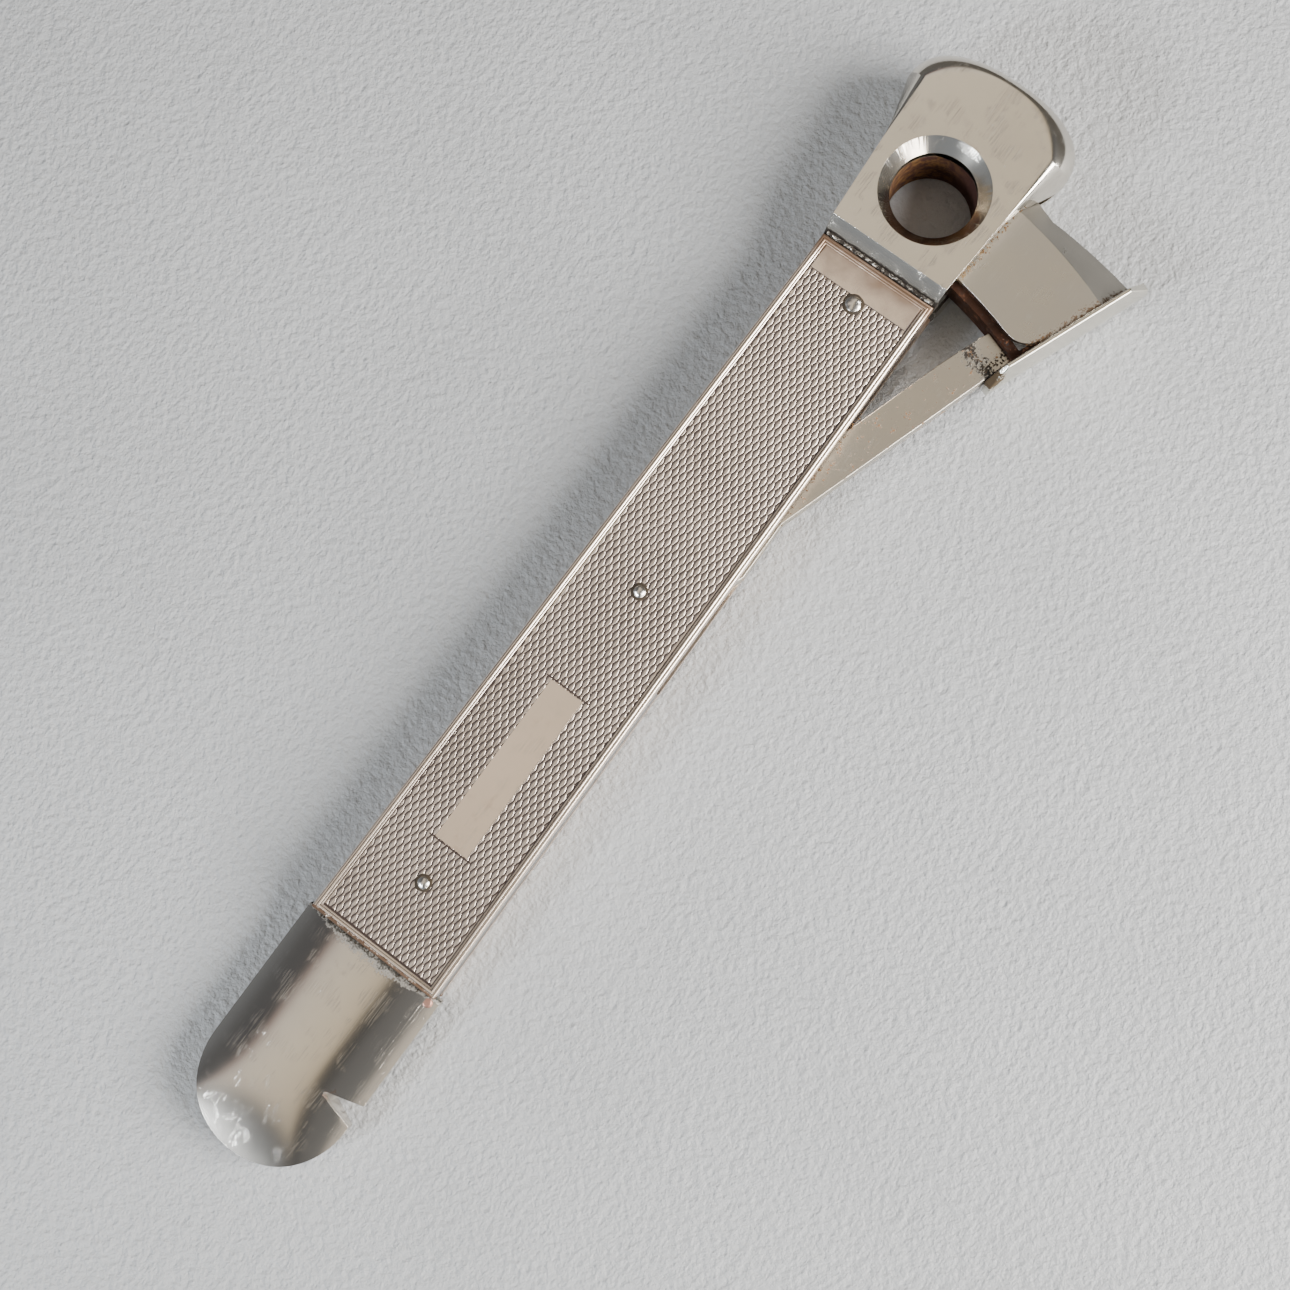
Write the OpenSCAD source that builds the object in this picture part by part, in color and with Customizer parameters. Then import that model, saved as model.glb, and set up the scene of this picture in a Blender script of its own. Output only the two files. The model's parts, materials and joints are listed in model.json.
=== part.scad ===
// Table cigar cutter with silver scales, a side-swinging folded blade and a box-opener nose.
// Origin: axis of the cigar hole on the underside of the head. +X runs along the handle towards
// the head's far end, +Y is the closed side, and the lever opens towards -Y. +Z is up.

/* [Head] */
// Height of the head block
head_h = 10.9; // [9:0.1:13]
// Half width of the head at its shoulder
head_shoulder_hw = 8.96; // [8.5:0.02:9.5]
// Half width of the flat top at its far corners
head_far_hw = 10.35; // [10:0.05:11]
// Distance from the cigar hole to the shoulder's upper edge
shoulder_x = 10.0; // [9.5:0.1:10.5]
// Distance from the cigar hole to the far edge of the flat top
flat_reach = 17.4; // [17:0.1:18]
// How far the rounded end stands out past the flat top
end_bulge = 1.5; // [1:0.1:2]
// Half width of the head at its widest, at mid height
lobe_hw = 12.5; // [12:0.1:13]

/* [Cigar hole] */
// Radius of the hole
hole_r = 5.78; // [5:0.01:6]
// Radius of the countersink at the top face
countersink_r = 7.46; // [6.8:0.02:7.8]
// Thickness of the plate above the blade, which is also the countersink's depth
top_plate = 1.95; // [1.6:0.05:2.2]

/* [Handle] */
// Length of the silver scales
scale_len = 110; // [105:1:115]
// Half width of the scales at the head
scale_hw = 8.8; // [8.6:0.05:9]
// Half width gained per millimetre towards the nose
scale_taper = 0.0102; // [0:0.0001:0.012]
// Thickness over both scales
handle_t = 7.1; // [6.8:0.1:7.4]
// Thickness of the silver sheet
sheet_t = 0.7; // [0.6:0.05:0.8]
// Thickness of each liner
liner_t = 1.15; // [1:0.05:1.2]

/* [Nose] */
// Length of the nose beyond the scales
nose_len = 31.1; // [29:0.1:33]
// Half width of the nose
nose_hw = 10.7; // [10.3:0.05:11]
// Thickness of the nose along its crown
nose_t = 6.6; // [6:0.1:7]
// Thickness of the nose at its side edges
nose_edge_t = 1.9; // [1.5:0.1:2.5]
// Depth of the nail-puller notch
notch_depth = 5.1; // [4:0.1:5.5]

/* [Lever] */
// Distance from the cigar hole to the lever's pivot
pivot_dist = 64.8; // [64:0.1:65.5]
// Angle of the open lever's thumb plate below the handle's axis
open_angle = 21.85; // [21.5:0.05:22.2]
// Thickness of the lever
lever_t = 2.8; // [2.6:0.1:2.9]
// Radius of the lever's boss
boss_r = 5.2; // [4.8:0.1:5.4]

/* [Blade] */
// Thickness of the blade's sheet
blade_t = 0.9; // [0.7:0.05:1]
// Radius of the fold, measured from the pivot
ridge_r = 70.3; // [70:0.1:71]
// Radius of the blade's near edge, measured from the pivot
near_r = 58.2; // [58:0.1:58.4]
// Outward run of the sloping flank for each millimetre of fall
flank_run = 1.4; // [1.3:0.05:1.5]
// Angle of the cutting edge below the handle's axis when open
edge_angle = 6.2; // [6:0.1:6.6]

/* [Hidden] */
$fn = 64;

// Levels
mid_z = head_h / 2;
gap_t = handle_t - 2 * (sheet_t + liner_t);
gap_z = mid_z - gap_t / 2;
fit = 0.03;
eps = 0.01;

// Stations along the handle
scale_x = -12.3;
nose_x = scale_x - scale_len;
pivot_x = -pivot_dist;
head_pin_x = -17.9;
nose_pin_x = -111.3;
rim_t = 0.5;

// Head
waist_x = 2;
waist_hw = head_shoulder_hw + (waist_x + shoulder_x) * 0.0637;
flat_r = 12.6;
flat_cx = flat_reach - flat_r;
flat_half_angle = asin(head_far_hw / flat_r);
lobe_x = 12.3;
lobe_reach = flat_reach + end_bulge - lobe_x;
lobe_power = 0.8;
shoulder_fall = 2.2;
slot_gap = 0.12;
land = 0.05;
blade_top = head_h - top_plate - slot_gap;
slot_end_angle = 6.9;
web_in_r = 57;
web_out_r = 58.4;

// Blade section, as [radius from the pivot, height] points
flank_low_z = 2.3;
flank_low_r = ridge_r + (blade_top - flank_low_z) * flank_run;
slant = sqrt(1 + flank_run * flank_run);
fold_in_r = ridge_r - blade_t * (slant - flank_run);

// Half width of the handle at station x, less an inset
function half_w(x, inset) = scale_hw + (scale_x - x) * scale_taper - inset;

// Outline of the head's rounded end: k = 0 on the flat faces, k = 1 at mid height
function flat_pt(a) = [
    flat_cx + flat_r * cos(a * flat_half_angle / 90),
    flat_r * sin(a * flat_half_angle / 90)
];
function lobe_pt(a) = [
    lobe_x + lobe_reach * pow(max(cos(a), 0), lobe_power),
    sign(a) * lobe_hw * pow(abs(sin(a)), lobe_power)
];
function end_pt(a, k) = flat_pt(a) * (1 - k) + lobe_pt(a) * k;

// Tapered strip of the handle from station x0 to x1
module strip2d(x0, x1, inset) {
    polygon([
        [x0, half_w(x0, inset)], [x1, half_w(x1, inset)],
        [x1, -half_w(x1, inset)], [x0, -half_w(x0, inset)]
    ]);
}

module at_pivot(angle) {
    translate([pivot_x, 0, 0]) rotate([0, 0, angle]) children();
}

// Ring sector about the pivot, from radius r0 to r1, height z0 to z1, angle a0 to a1
module sector(r0, r1, z0, z1, a0, a1) {
    at_pivot(a0)
        rotate_extrude(angle = a1 - a0, $fn = 360)
            translate([r0, z0]) square([r1 - r0, z1 - z0]);
}

// Section of the folded blade, grown by g all round
module blade_section(g) {
    polygon([
        [near_r - g, blade_top + g],
        [ridge_r + g * (slant - flank_run), blade_top + g],
        [flank_low_r + g * slant + g * flank_run, flank_low_z - g],
        [flank_low_r - blade_t * slant - g * slant + g * flank_run, flank_low_z - g],
        [fold_in_r - g * (slant - flank_run), blade_top - blade_t - g],
        [near_r - g, blade_top - blade_t - g]
    ]);
}

// Rounded far end of the head: rings from the flat faces out to the lobes at mid height
module rounded_end() {
    rings = [
        for (t = [-90:30:90]) [
            for (p = concat(
                [[waist_x, -waist_hw]],
                [for (a = [-90:18:90]) end_pt(a, max(cos(t), 0))],
                [[waist_x, waist_hw]]
            )) [p[0], p[1], mid_z + mid_z * sin(t)]
        ]
    ];
    n = len(rings[0]);
    last = len(rings) - 1;
    polyhedron(
        points = [for (ring = rings) each ring],
        faces = concat(
            [[for (j = [0:n - 1]) j]],
            [[for (j = [n - 1:-1:0]) last * n + j]],
            [
                for (i = [0:last - 1], j = [0:n - 1])
                    [i * n + j, (i + 1) * n + j, (i + 1) * n + (j + 1) % n]
            ],
            [
                for (i = [0:last - 1], j = [0:n - 1])
                    [i * n + j, (i + 1) * n + (j + 1) % n, i * n + (j + 1) % n]
            ]
        )
    );
}

module head_body() {
    overlap = 0.5;
    linear_extrude(head_h)
        polygon([
            [scale_x + fit, head_shoulder_hw - 0.1], [waist_x, waist_hw],
            [waist_x + overlap, waist_hw - overlap], [waist_x + overlap, overlap - waist_hw],
            [waist_x, -waist_hw], [scale_x + fit, 0.1 - head_shoulder_hw]
        ]);
}

// Sloping shoulder that drops from the head's face towards the scale
module shoulder_cut() {
    rotate([90, 0, 0])
        linear_extrude(40, center = true)
            polygon([
                [-shoulder_x, head_h + eps], [scale_x + 0.4, head_h - shoulder_fall],
                [scale_x - 1, head_h - shoulder_fall], [scale_x - 1, head_h + eps]
            ]);
}

module head_tang() {
    difference() {
        translate([scale_x - 11.7, -1, gap_z]) cube([12, 8.3, gap_t]);
        translate([head_pin_x, 0, 0]) cylinder(r = 0.97, h = head_h);
        translate([rivet_places[0][0], rivet_places[0][1], 0]) cylinder(r = 0.72, h = head_h);
    }
}

module head_block() {
    color("silver") difference() {
        union() {
            head_body();
            rounded_end();
            head_tang();
        }
        shoulder_cut();
        translate([0, 0, mid_z]) mirror([0, 0, 1]) translate([0, 0, -mid_z]) shoulder_cut();
        translate([0, 0, -1]) cylinder(r = hole_r, h = head_h + 2);
        translate([0, 0, head_h - top_plate + land])
            cylinder(r1 = hole_r, r2 = countersink_r, h = top_plate - land + eps);
        at_pivot(-20)
            rotate_extrude(angle = 20 + slot_end_angle, $fn = 360) blade_section(slot_gap);
        sector(web_in_r - slot_gap, web_out_r + slot_gap, gap_z + 0.15, blade_top - blade_t / 2, -20, 3.6);
        sector(48, web_in_r + 0.4, gap_z + 0.15, gap_z + gap_t - 0.15, -20, -3.1);
    }
}

// Pitted solder bead in the groove between the head and each scale
module shoulder_beads() {
    bead_r = 0.25;
    color("lightgray")
        for (side = [-1, 1])
            translate([scale_x + bead_r + 0.07, 0, mid_z + side * (handle_t / 2 + 0.02)])
                rotate([90, 0, 0]) cylinder(r = bead_r, h = 16.6, center = true);
}

// Silver scale: a tray whose sides are turned down over the liner
module scale_tray() {
    difference() {
        linear_extrude(sheet_t + liner_t) strip2d(scale_x, nose_x, 0);
        translate([0, 0, -eps]) linear_extrude(liner_t + eps) strip2d(scale_x + 1, nose_x - 1, rim_t);
        for (x = [head_pin_x, pivot_x, nose_pin_x])
            translate([x, 0, -1]) cylinder(r = 0.97, h = 4);
    }
}

module upper_scale() {
    color([0.86, 0.78, 0.72]) translate([0, 0, gap_z + gap_t]) scale_tray();
}

module lower_scale() {
    color([0.86, 0.78, 0.72]) translate([0, 0, gap_z]) mirror([0, 0, 1]) scale_tray();
}

// Steel liner under a scale
module liner() {
    difference() {
        linear_extrude(liner_t) strip2d(scale_x, nose_x, rim_t + fit);
        for (x = [head_pin_x, pivot_x, nose_pin_x])
            translate([x, 0, -1]) cylinder(r = 0.97, h = 4);
        for (p = rivet_places) translate([p[0], p[1], -1]) cylinder(r = 0.72, h = 4);
        translate([stop_pin_at[0], stop_pin_at[1], -1]) cylinder(r = 1.02, h = 4);
    }
}

module upper_liner() {
    color("gray") translate([0, 0, gap_z + gap_t]) liner();
}

module lower_liner() {
    color("gray") translate([0, 0, gap_z - liner_t]) liner();
}

// Rivets through the liners and the strips between them, and the lever's open stop
strip_w = 2.6;
rivet_places = [
    [-21, 5.6], [-32, 7.6], [-58, 7.9], [-95, 8.2], [-117, 8.4],
    [-84, -8.1], [-117, -8.4]
];
stop_pin_at = [-75.2, 3.62];

module side_strip(x0, x1, side) {
    difference() {
        linear_extrude(gap_t)
            polygon([
                [x0, side * half_w(x0, 0.12)], [x1, side * half_w(x1, 0.12)],
                [x1, side * half_w(x1, 0.12 + strip_w)], [x0, side * half_w(x0, 0.12 + strip_w)]
            ]);
        for (p = rivet_places) translate([p[0], p[1], -1]) cylinder(r = 0.72, h = 6);
    }
}

module back_spacer() {
    color("dimgray") translate([0, 0, gap_z]) side_strip(scale_x - 12, nose_x, 1);
}

module front_spacer() {
    color("dimgray") translate([0, 0, gap_z]) side_strip(-74, nose_x, -1);
}

module liner_rivets() {
    color("silver")
        for (p = rivet_places)
            translate([p[0], p[1], gap_z - liner_t]) cylinder(r = 0.7, h = gap_t + 2 * liner_t);
}

module open_stop_pin() {
    color("silver")
        translate([stop_pin_at[0], stop_pin_at[1], gap_z - liner_t])
            cylinder(r = 1, h = gap_t + 2 * liner_t);
}

// Pin right through the handle with a domed head on each scale
module through_pin(x, head_r, dome_h) {
    translate([x, 0, mid_z]) {
        cylinder(r = 0.95, h = handle_t, center = true);
        for (side = [0, 1])
            mirror([0, 0, side])
                translate([0, 0, handle_t / 2 - eps]) intersection() {
                    dome_r = (head_r * head_r + dome_h * dome_h) / (2 * dome_h);
                    translate([0, 0, dome_h - dome_r]) sphere(r = dome_r);
                    cylinder(r = 5, h = 2);
                }
    }
}

module head_pin() {
    color("white") through_pin(head_pin_x, 0.95, 0.28);
}

module pivot_pin() {
    color("silver") through_pin(pivot_x, 0.9, 0.32);
}

module nose_pin() {
    color("silver") through_pin(nose_pin_x, 0.9, 0.32);
}

// Box-opener nose: crowned across, thinning towards its round end
module nose_plan() {
    round_x = nose_x - nose_len + nose_hw;
    difference() {
        union() {
            translate([round_x, 0]) circle(r = nose_hw, $fn = 128);
            translate([round_x, -nose_hw]) square([nose_x - round_x - fit, 2 * nose_hw]);
        }
        polygon([
            [nose_x - 16.1, -nose_hw - 1], [nose_x - 16.4, -nose_hw],
            [nose_x - 17.6, -nose_hw + notch_depth], [nose_x - 18.0, -nose_hw + notch_depth],
            [nose_x - 19.6, -nose_hw], [nose_x - 19.9, -nose_hw - 1]
        ]);
    }
}

module nose_cross_section() {
    fall = (nose_t - nose_edge_t) / 2;
    crown_r = (nose_hw * nose_hw + fall * fall) / (2 * fall);
    intersection() {
        translate([0, crown_r - nose_t / 2]) circle(r = crown_r, $fn = 256);
        translate([0, nose_t / 2 - crown_r]) circle(r = crown_r, $fn = 256);
    }
}

module nose_side_profile() {
    tip_r = 42;
    bend_x = nose_x - 15;
    translate([bend_x, -nose_t]) square([20, 2 * nose_t]);
    translate([bend_x, 0]) intersection() {
        translate([0, tip_r - nose_t / 2]) circle(r = tip_r, $fn = 256);
        translate([0, nose_t / 2 - tip_r]) circle(r = tip_r, $fn = 256);
        translate([-30, -nose_t]) square([30 + eps, 2 * nose_t]);
    }
}

module nose_opener() {
    color("silver") {
        intersection() {
            linear_extrude(head_h) nose_plan();
            translate([nose_x + 1, 0, mid_z]) rotate([90, 0, -90])
                linear_extrude(nose_len + 2) nose_cross_section();
            translate([0, 0, mid_z]) rotate([90, 0, 0])
                linear_extrude(30, center = true) nose_side_profile();
        }
        difference() {
            translate([nose_x - 1, -4.6, gap_z]) cube([16, 9.2, gap_t]);
            translate([nose_pin_x, 0, 0]) cylinder(r = 0.97, h = head_h);
        }
    }
}

// Copper-coloured braze spot at the nose's corner on the lever side
module nose_braze_spot() {
    color([0.72, 0.5, 0.42])
        translate([nose_x - 1.0, -nose_hw + 1.35, mid_z + 1.3])
            cylinder(r1 = 0.8, r2 = 0.6, h = 0.55, $fn = 32);
}

// Flat lever with its boss, heel and tail
arm_low_z = mid_z - lever_t / 2;

module arm_plan() {
    difference() {
        intersection() {
            polygon([
                [-8, -22.1], [-15.75, -19.55], [-46.5, -9.45], [-55.2, -9.55], [-58.5, -8.2],
                [-66, -5], [-66, 0], [-60, 1.9], [-57.5, -0.6], [-29.1, -9.8], [-16.8, -13.8],
                [-11.6, -15.75], [-8, -17.4]
            ]);
            at_pivot(0) circle(r = web_in_r - 0.02, $fn = 360);
        }
        at_pivot(-open_angle) translate([52.6, -20]) square([37, 20]);
    }
}

module tail_plan() {
    tail_from = pivot_x - 2;
    polygon([
        [tail_from, 2.6], [tail_from - 11.2, 2.55], [tail_from - 12, 1.9],
        [tail_from - 12, -0.4], [tail_from - 11.4, -1], [tail_from, -3.4]
    ]);
}

module lever_arm() {
    color([0.75, 0.72, 0.66])
        difference() {
            translate([0, 0, arm_low_z]) union() {
                linear_extrude(lever_t) arm_plan();
                linear_extrude(lever_t) tail_plan();
                translate([pivot_x, 0, 0]) cylinder(r = boss_r, h = lever_t);
            }
            translate([pivot_x, 0, 0]) cylinder(r = 2.2, h = head_h);
        }
}

module pivot_bush() {
    color("goldenrod")
        translate([pivot_x, 0, arm_low_z]) difference() {
            cylinder(r = 2.18, h = lever_t);
            translate([0, 0, -1]) cylinder(r = 1, h = lever_t + 2);
        }
}

module pivot_washers() {
    washer_t = (gap_t - lever_t) / 2 - 0.06;
    color("silver")
        for (z = [gap_z + 0.03, gap_z + gap_t - 0.03 - washer_t])
            translate([pivot_x, 0, z]) difference() {
                cylinder(r = 4.2, h = washer_t);
                translate([0, 0, -1]) cylinder(r = 1.02, h = 3);
            }
}

// Flat spring that pushes the tail and so holds the lever open
module leaf_spring() {
    leaf_t = 0.7;
    leaf_h = 2.4;
    bends = [[-104, -6.26], [-92, -6.12], [-84.5, -4.3], [-78.4, -1.3], [-76.6, -1.5], [-75, -2.1]];
    last = len(bends) - 1;
    color("slategray")
        translate([0, 0, mid_z - leaf_h / 2]) linear_extrude(leaf_h)
            polygon(concat(bends, [for (i = [last:-1:0]) bends[i] - [0, leaf_t]]));
}

module spring_rivets() {
    color("silver")
        for (x = [-101, -96])
            translate([x, -6.9, mid_z]) rotate([90, 0, 0]) cylinder(r = 0.6, h = 2, center = true);
}

// Upright web under the blade's near edge and the wall behind the thumb plate
module blade_carrier() {
    web_low_z = arm_low_z;
    web_top_z = blade_top - blade_t;
    color([0.4, 0.25, 0.15]) {
        sector(web_in_r, web_out_r, web_low_z, web_top_z, -open_angle, -8.4);
        sector(web_out_r - eps, ridge_r - 0.4, web_low_z, web_top_z, -open_angle, 0.8 - open_angle);
    }
}

// Folded blade: a level cutting flank over the hole's path and a sloping outer flank
module cutting_blade() {
    corner_r = 3;
    corner_at = [near_r + corner_r, corner_r + 0.4];
    color([0.78, 0.77, 0.74]) difference() {
        at_pivot(-open_angle)
            rotate_extrude(angle = open_angle - edge_angle, $fn = 360) blade_section(0);
        at_pivot(-open_angle) translate([near_r - 1, -1, blade_top - blade_t - 1])
            difference() {
                cube([corner_r + 1, corner_at[1] + 1, 3]);
                translate([corner_r + 1, corner_at[1] + 1, -1]) cylinder(r = corner_r, h = 5);
            }
        at_pivot(-open_angle) translate([ridge_r, 0, 5]) rotate([8.2, 0, 0]) mirror([0, 0, 1])
            translate([1.5, -10, 0]) cube([20, 40, 10]);
    }
}

// Thumb plate with chamfered corners and a gently crowned outer face
module thumb_plate() {
    low_z = 1.2;
    high_z = head_h - 1.6;
    plate_t = 1.4;
    edge_t = 0.6;
    color("silver")
        at_pivot(-open_angle) intersection() {
            rotate([90, 0, 0]) linear_extrude(plate_t)
                polygon([
                    [52.8, low_z + 1], [52.8, high_z - 2.7], [55.8, high_z], [74.4, high_z],
                    [77.2, high_z - 2.6], [77.2, low_z + 1], [76.2, low_z], [53.8, low_z]
                ]);
            translate([50, 0, 0]) rotate([90, 0, 90]) linear_extrude(30)
                polygon([
                    [0, low_z], [-edge_t, low_z], [-plate_t + 0.2, low_z + 1.8], [-plate_t, mid_z],
                    [-plate_t + 0.2, high_z - 2.4], [-edge_t, high_z], [0, high_z]
                ]);
        }
}

head_block();
shoulder_beads();
upper_scale();
lower_scale();
upper_liner();
lower_liner();
back_spacer();
front_spacer();
nose_opener();
nose_braze_spot();
head_pin();
pivot_pin();
nose_pin();
liner_rivets();
open_stop_pin();
leaf_spring();
spring_rivets();
lever_arm();
pivot_bush();
pivot_washers();
blade_carrier();
cutting_blade();
thumb_plate();
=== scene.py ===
"""Table cigar cutter: engine-turned silver scales, a side-swinging folded blade, a box-opener nose."""

import json
import math
import random

import bmesh
import bpy
from bpy.props import FloatProperty, FloatVectorProperty, IntProperty, PointerProperty
from mathutils import Matrix, Vector, noise


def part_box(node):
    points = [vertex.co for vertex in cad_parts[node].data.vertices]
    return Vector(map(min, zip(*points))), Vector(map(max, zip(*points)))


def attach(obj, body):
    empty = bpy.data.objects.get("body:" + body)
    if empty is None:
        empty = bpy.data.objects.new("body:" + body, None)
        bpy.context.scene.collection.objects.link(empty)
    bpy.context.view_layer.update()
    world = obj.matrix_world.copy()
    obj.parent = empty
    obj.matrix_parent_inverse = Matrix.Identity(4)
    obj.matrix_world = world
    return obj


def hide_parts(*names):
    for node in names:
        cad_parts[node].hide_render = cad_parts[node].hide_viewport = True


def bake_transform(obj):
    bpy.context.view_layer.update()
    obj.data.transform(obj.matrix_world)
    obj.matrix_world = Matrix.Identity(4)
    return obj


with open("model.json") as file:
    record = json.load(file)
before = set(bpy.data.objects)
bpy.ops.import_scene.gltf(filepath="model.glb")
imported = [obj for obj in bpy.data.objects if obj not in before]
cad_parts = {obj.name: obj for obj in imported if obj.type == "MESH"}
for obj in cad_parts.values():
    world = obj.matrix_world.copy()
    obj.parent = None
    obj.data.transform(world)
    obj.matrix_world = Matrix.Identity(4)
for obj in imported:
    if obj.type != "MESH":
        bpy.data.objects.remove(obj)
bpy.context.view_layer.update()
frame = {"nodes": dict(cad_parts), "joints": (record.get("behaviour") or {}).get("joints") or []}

bl_info = {
    "name": "Table Cigar Cutter",
    "version": (1, 0, 0),
    "blender": (4, 5, 0),
    "location": "View3D > Sidebar > Cutter",
    "description": "Builds the finished looks of a silver table cigar cutter around its frame",
    "category": "Object",
}

MM = 0.001


# ---------------------------------------------------------------- measures from the frame, in mm


def span(node):
    """Lowest and highest corner of a node, in millimetres."""
    low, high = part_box(node)
    return low / MM, high / MM


HEAD_LOW, HEAD_HIGH = span("head_block")
SCALE_LOW, SCALE_HIGH = span("upper_scale")
NOSE_LOW, NOSE_HIGH = span("nose_opener")
MID_Z = (HEAD_LOW.z + HEAD_HIGH.z) / 2
SCALE_X = SCALE_HIGH.x
NOSE_X = SCALE_LOW.x
SCALE_TOP = SCALE_HIGH.z
NOSE_HALF_W = NOSE_HIGH.y
PIVOT = Vector(frame["joints"][0]["pos_m"]) / MM
BLADE_TOP = span("cutting_blade")[1].z
HOLE_R = 5.78
COUNTERSINK_Z = 9.0
HEAD_SIDE_Y = -9.6
SCALE_HEAD_HALF_W = 8.8
SCALE_TAPER = (SCALE_HIGH.y - SCALE_HEAD_HALF_W) / (SCALE_X - NOSE_X)
PIN_STATIONS = {node: sum(c.x for c in span(node)) / 2 for node in ("head_pin", "pivot_pin", "nose_pin")}
OPEN_ANGLE = -21.85  # direction of the thumb plate's inner face from the pivot at rest, in degrees
ARM_TOP = span("lever_arm")[1].z


def half_w(x, inset=0.0):
    """Half width of the handle at station x, less an inset."""
    return SCALE_HEAD_HALF_W + (SCALE_X - x) * SCALE_TAPER - inset


def about_pivot(radius, degrees, z):
    """Point at a radius and an angle about the lever's pivot."""
    angle = math.radians(degrees)
    return Vector((PIVOT.x + radius * math.cos(angle), radius * math.sin(angle), z))


# ---------------------------------------------------------------- settings


class CutterHeadSettings(bpy.types.PropertyGroup):
    """Sizes and colours of the head, the nose and the thumb plate."""

    edge_round: FloatProperty(
        name="Edge Rounding", description="Rounding of the head's edges", default=0.16 * MM, unit="LENGTH"
    )
    rim_round: FloatProperty(
        name="Rim Rounding", description="Rounding of the nose's rim", default=0.55 * MM, unit="LENGTH"
    )
    nickel: FloatVectorProperty(
        name="Nickel", description="Colour of the polished nickel", subtype="COLOR",
        default=(0.78, 0.73, 0.65),
    )
    bore_rust: FloatVectorProperty(
        name="Bore Rust", description="Colour of the rust in the cigar hole", subtype="COLOR",
        default=(0.055, 0.018, 0.012),
    )


class CutterScaleSettings(bpy.types.PropertyGroup):
    """Sizes and colours of the engine-turned scales."""

    line_pitch: FloatProperty(
        name="Line Pitch", description="Distance between engine-turned lines", default=0.591 * MM,
        unit="LENGTH",
    )
    wave_length: FloatProperty(
        name="Wave Length", description="Length of one wave along a line", default=1.608 * MM, unit="LENGTH"
    )
    wave_swing: FloatProperty(
        name="Wave Swing", description="Swing of each line to either side", default=0.13 * MM, unit="LENGTH"
    )
    groove_depth: FloatProperty(
        name="Groove Depth", description="Depth of each line", default=0.085 * MM, unit="LENGTH"
    )
    silver: FloatVectorProperty(
        name="Silver", description="Colour of the silver", subtype="COLOR", default=(0.93, 0.8, 0.69)
    )
    tarnish: FloatVectorProperty(
        name="Tarnish", description="Colour of the tarnish in the lines", subtype="COLOR",
        default=(0.03, 0.016, 0.011),
    )


class CutterLeverSettings(bpy.types.PropertyGroup):
    """Sizes and colours of the lever and the blade."""

    edge_round: FloatProperty(
        name="Edge Rounding", description="Rounding of the lever's edges", default=0.14 * MM, unit="LENGTH"
    )
    steel: FloatVectorProperty(
        name="Blade Steel", description="Colour of the satin steel", subtype="COLOR",
        default=(0.6, 0.57, 0.51),
    )
    rust: FloatVectorProperty(
        name="Rust", description="Colour of the rusted carrier", subtype="COLOR",
        default=(0.06, 0.026, 0.016),
    )
    crumb_count: IntProperty(
        name="Grime Crumbs", description="Number of grime crumbs along the joints", default=420, min=0
    )


class CutterStageSettings(bpy.types.PropertyGroup):
    """Floor, light and camera."""

    floor_colour: FloatVectorProperty(
        name="Floor", description="Colour of the floor board", subtype="COLOR", default=(0.47, 0.478, 0.486)
    )
    key_power: FloatProperty(
        name="Key Light", description="Power of the key light", default=12.5, unit="POWER"
    )
    lens: FloatProperty(name="Lens", description="Focal length in millimetres", default=50.2)


# ---------------------------------------------------------------- node wiring


class Wiring:
    """Short calls that add and join nodes in one tree."""

    def __init__(self, tree):
        self.tree = tree

    def add(self, kind, inputs=None, **settings):
        node = self.tree.nodes.new(kind)
        for key, value in settings.items():
            setattr(node, key, value)
        for key, value in (inputs or {}).items():
            self.feed(node.inputs[key], value)
        return node

    def feed(self, socket, value):
        if isinstance(value, bpy.types.NodeSocket):
            self.tree.links.new(value, socket)
        elif hasattr(value, "__len__") and len(value) == 3 and socket.type == "RGBA":
            socket.default_value = (*value, 1.0)
        else:
            socket.default_value = value

    def maths(self, operation, first, second=0.0, clamp=False):
        inputs = {0: first, 1: second}
        return self.add("ShaderNodeMath", inputs, operation=operation, use_clamp=clamp).outputs[0]

    def ramp(self, value, start, end, low=0.0, high=1.0):
        inputs = {"Value": value, "From Min": start, "From Max": end, "To Min": low, "To Max": high}
        return self.add("ShaderNodeMapRange", inputs, interpolation_type="SMOOTHSTEP").outputs[0]

    def ramp_linear(self, value, start, end):
        inputs = {"Value": value, "From Min": start, "From Max": end}
        return self.add("ShaderNodeMapRange", inputs).outputs[0]

    def blend(self, factor, first, second, mode="MIX"):
        node = self.add("ShaderNodeMix", {0: factor}, data_type="RGBA", blend_type=mode)
        self.feed(node.inputs[6], first)
        self.feed(node.inputs[7], second)
        return node.outputs[2]

    def noise(self, vector, scale, detail=3.0, roughness=0.55):
        inputs = {"Vector": vector, "Scale": scale, "Detail": detail, "Roughness": roughness}
        return self.add("ShaderNodeTexNoise", inputs).outputs["Fac"]

    def stretched(self, vector, scale, turn=0.0):
        inputs = {"Vector": vector, "Scale": scale, "Rotation": (0.0, 0.0, math.radians(turn))}
        return self.add("ShaderNodeMapping", inputs).outputs[0]

    def millimetres(self):
        place = self.add("ShaderNodeTexCoord").outputs["Object"]
        return self.add("ShaderNodeVectorMath", {0: place, "Scale": 1 / MM}, operation="SCALE").outputs[0]

    def axes(self, vector):
        return self.add("ShaderNodeSeparateXYZ", {0: vector}).outputs

    def group(self, tree, **inputs):
        node = self.add("ShaderNodeGroup", node_tree=tree)
        for key, value in inputs.items():
            self.feed(node.inputs[key.replace("_", " ")], value)
        return node.outputs


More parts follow.
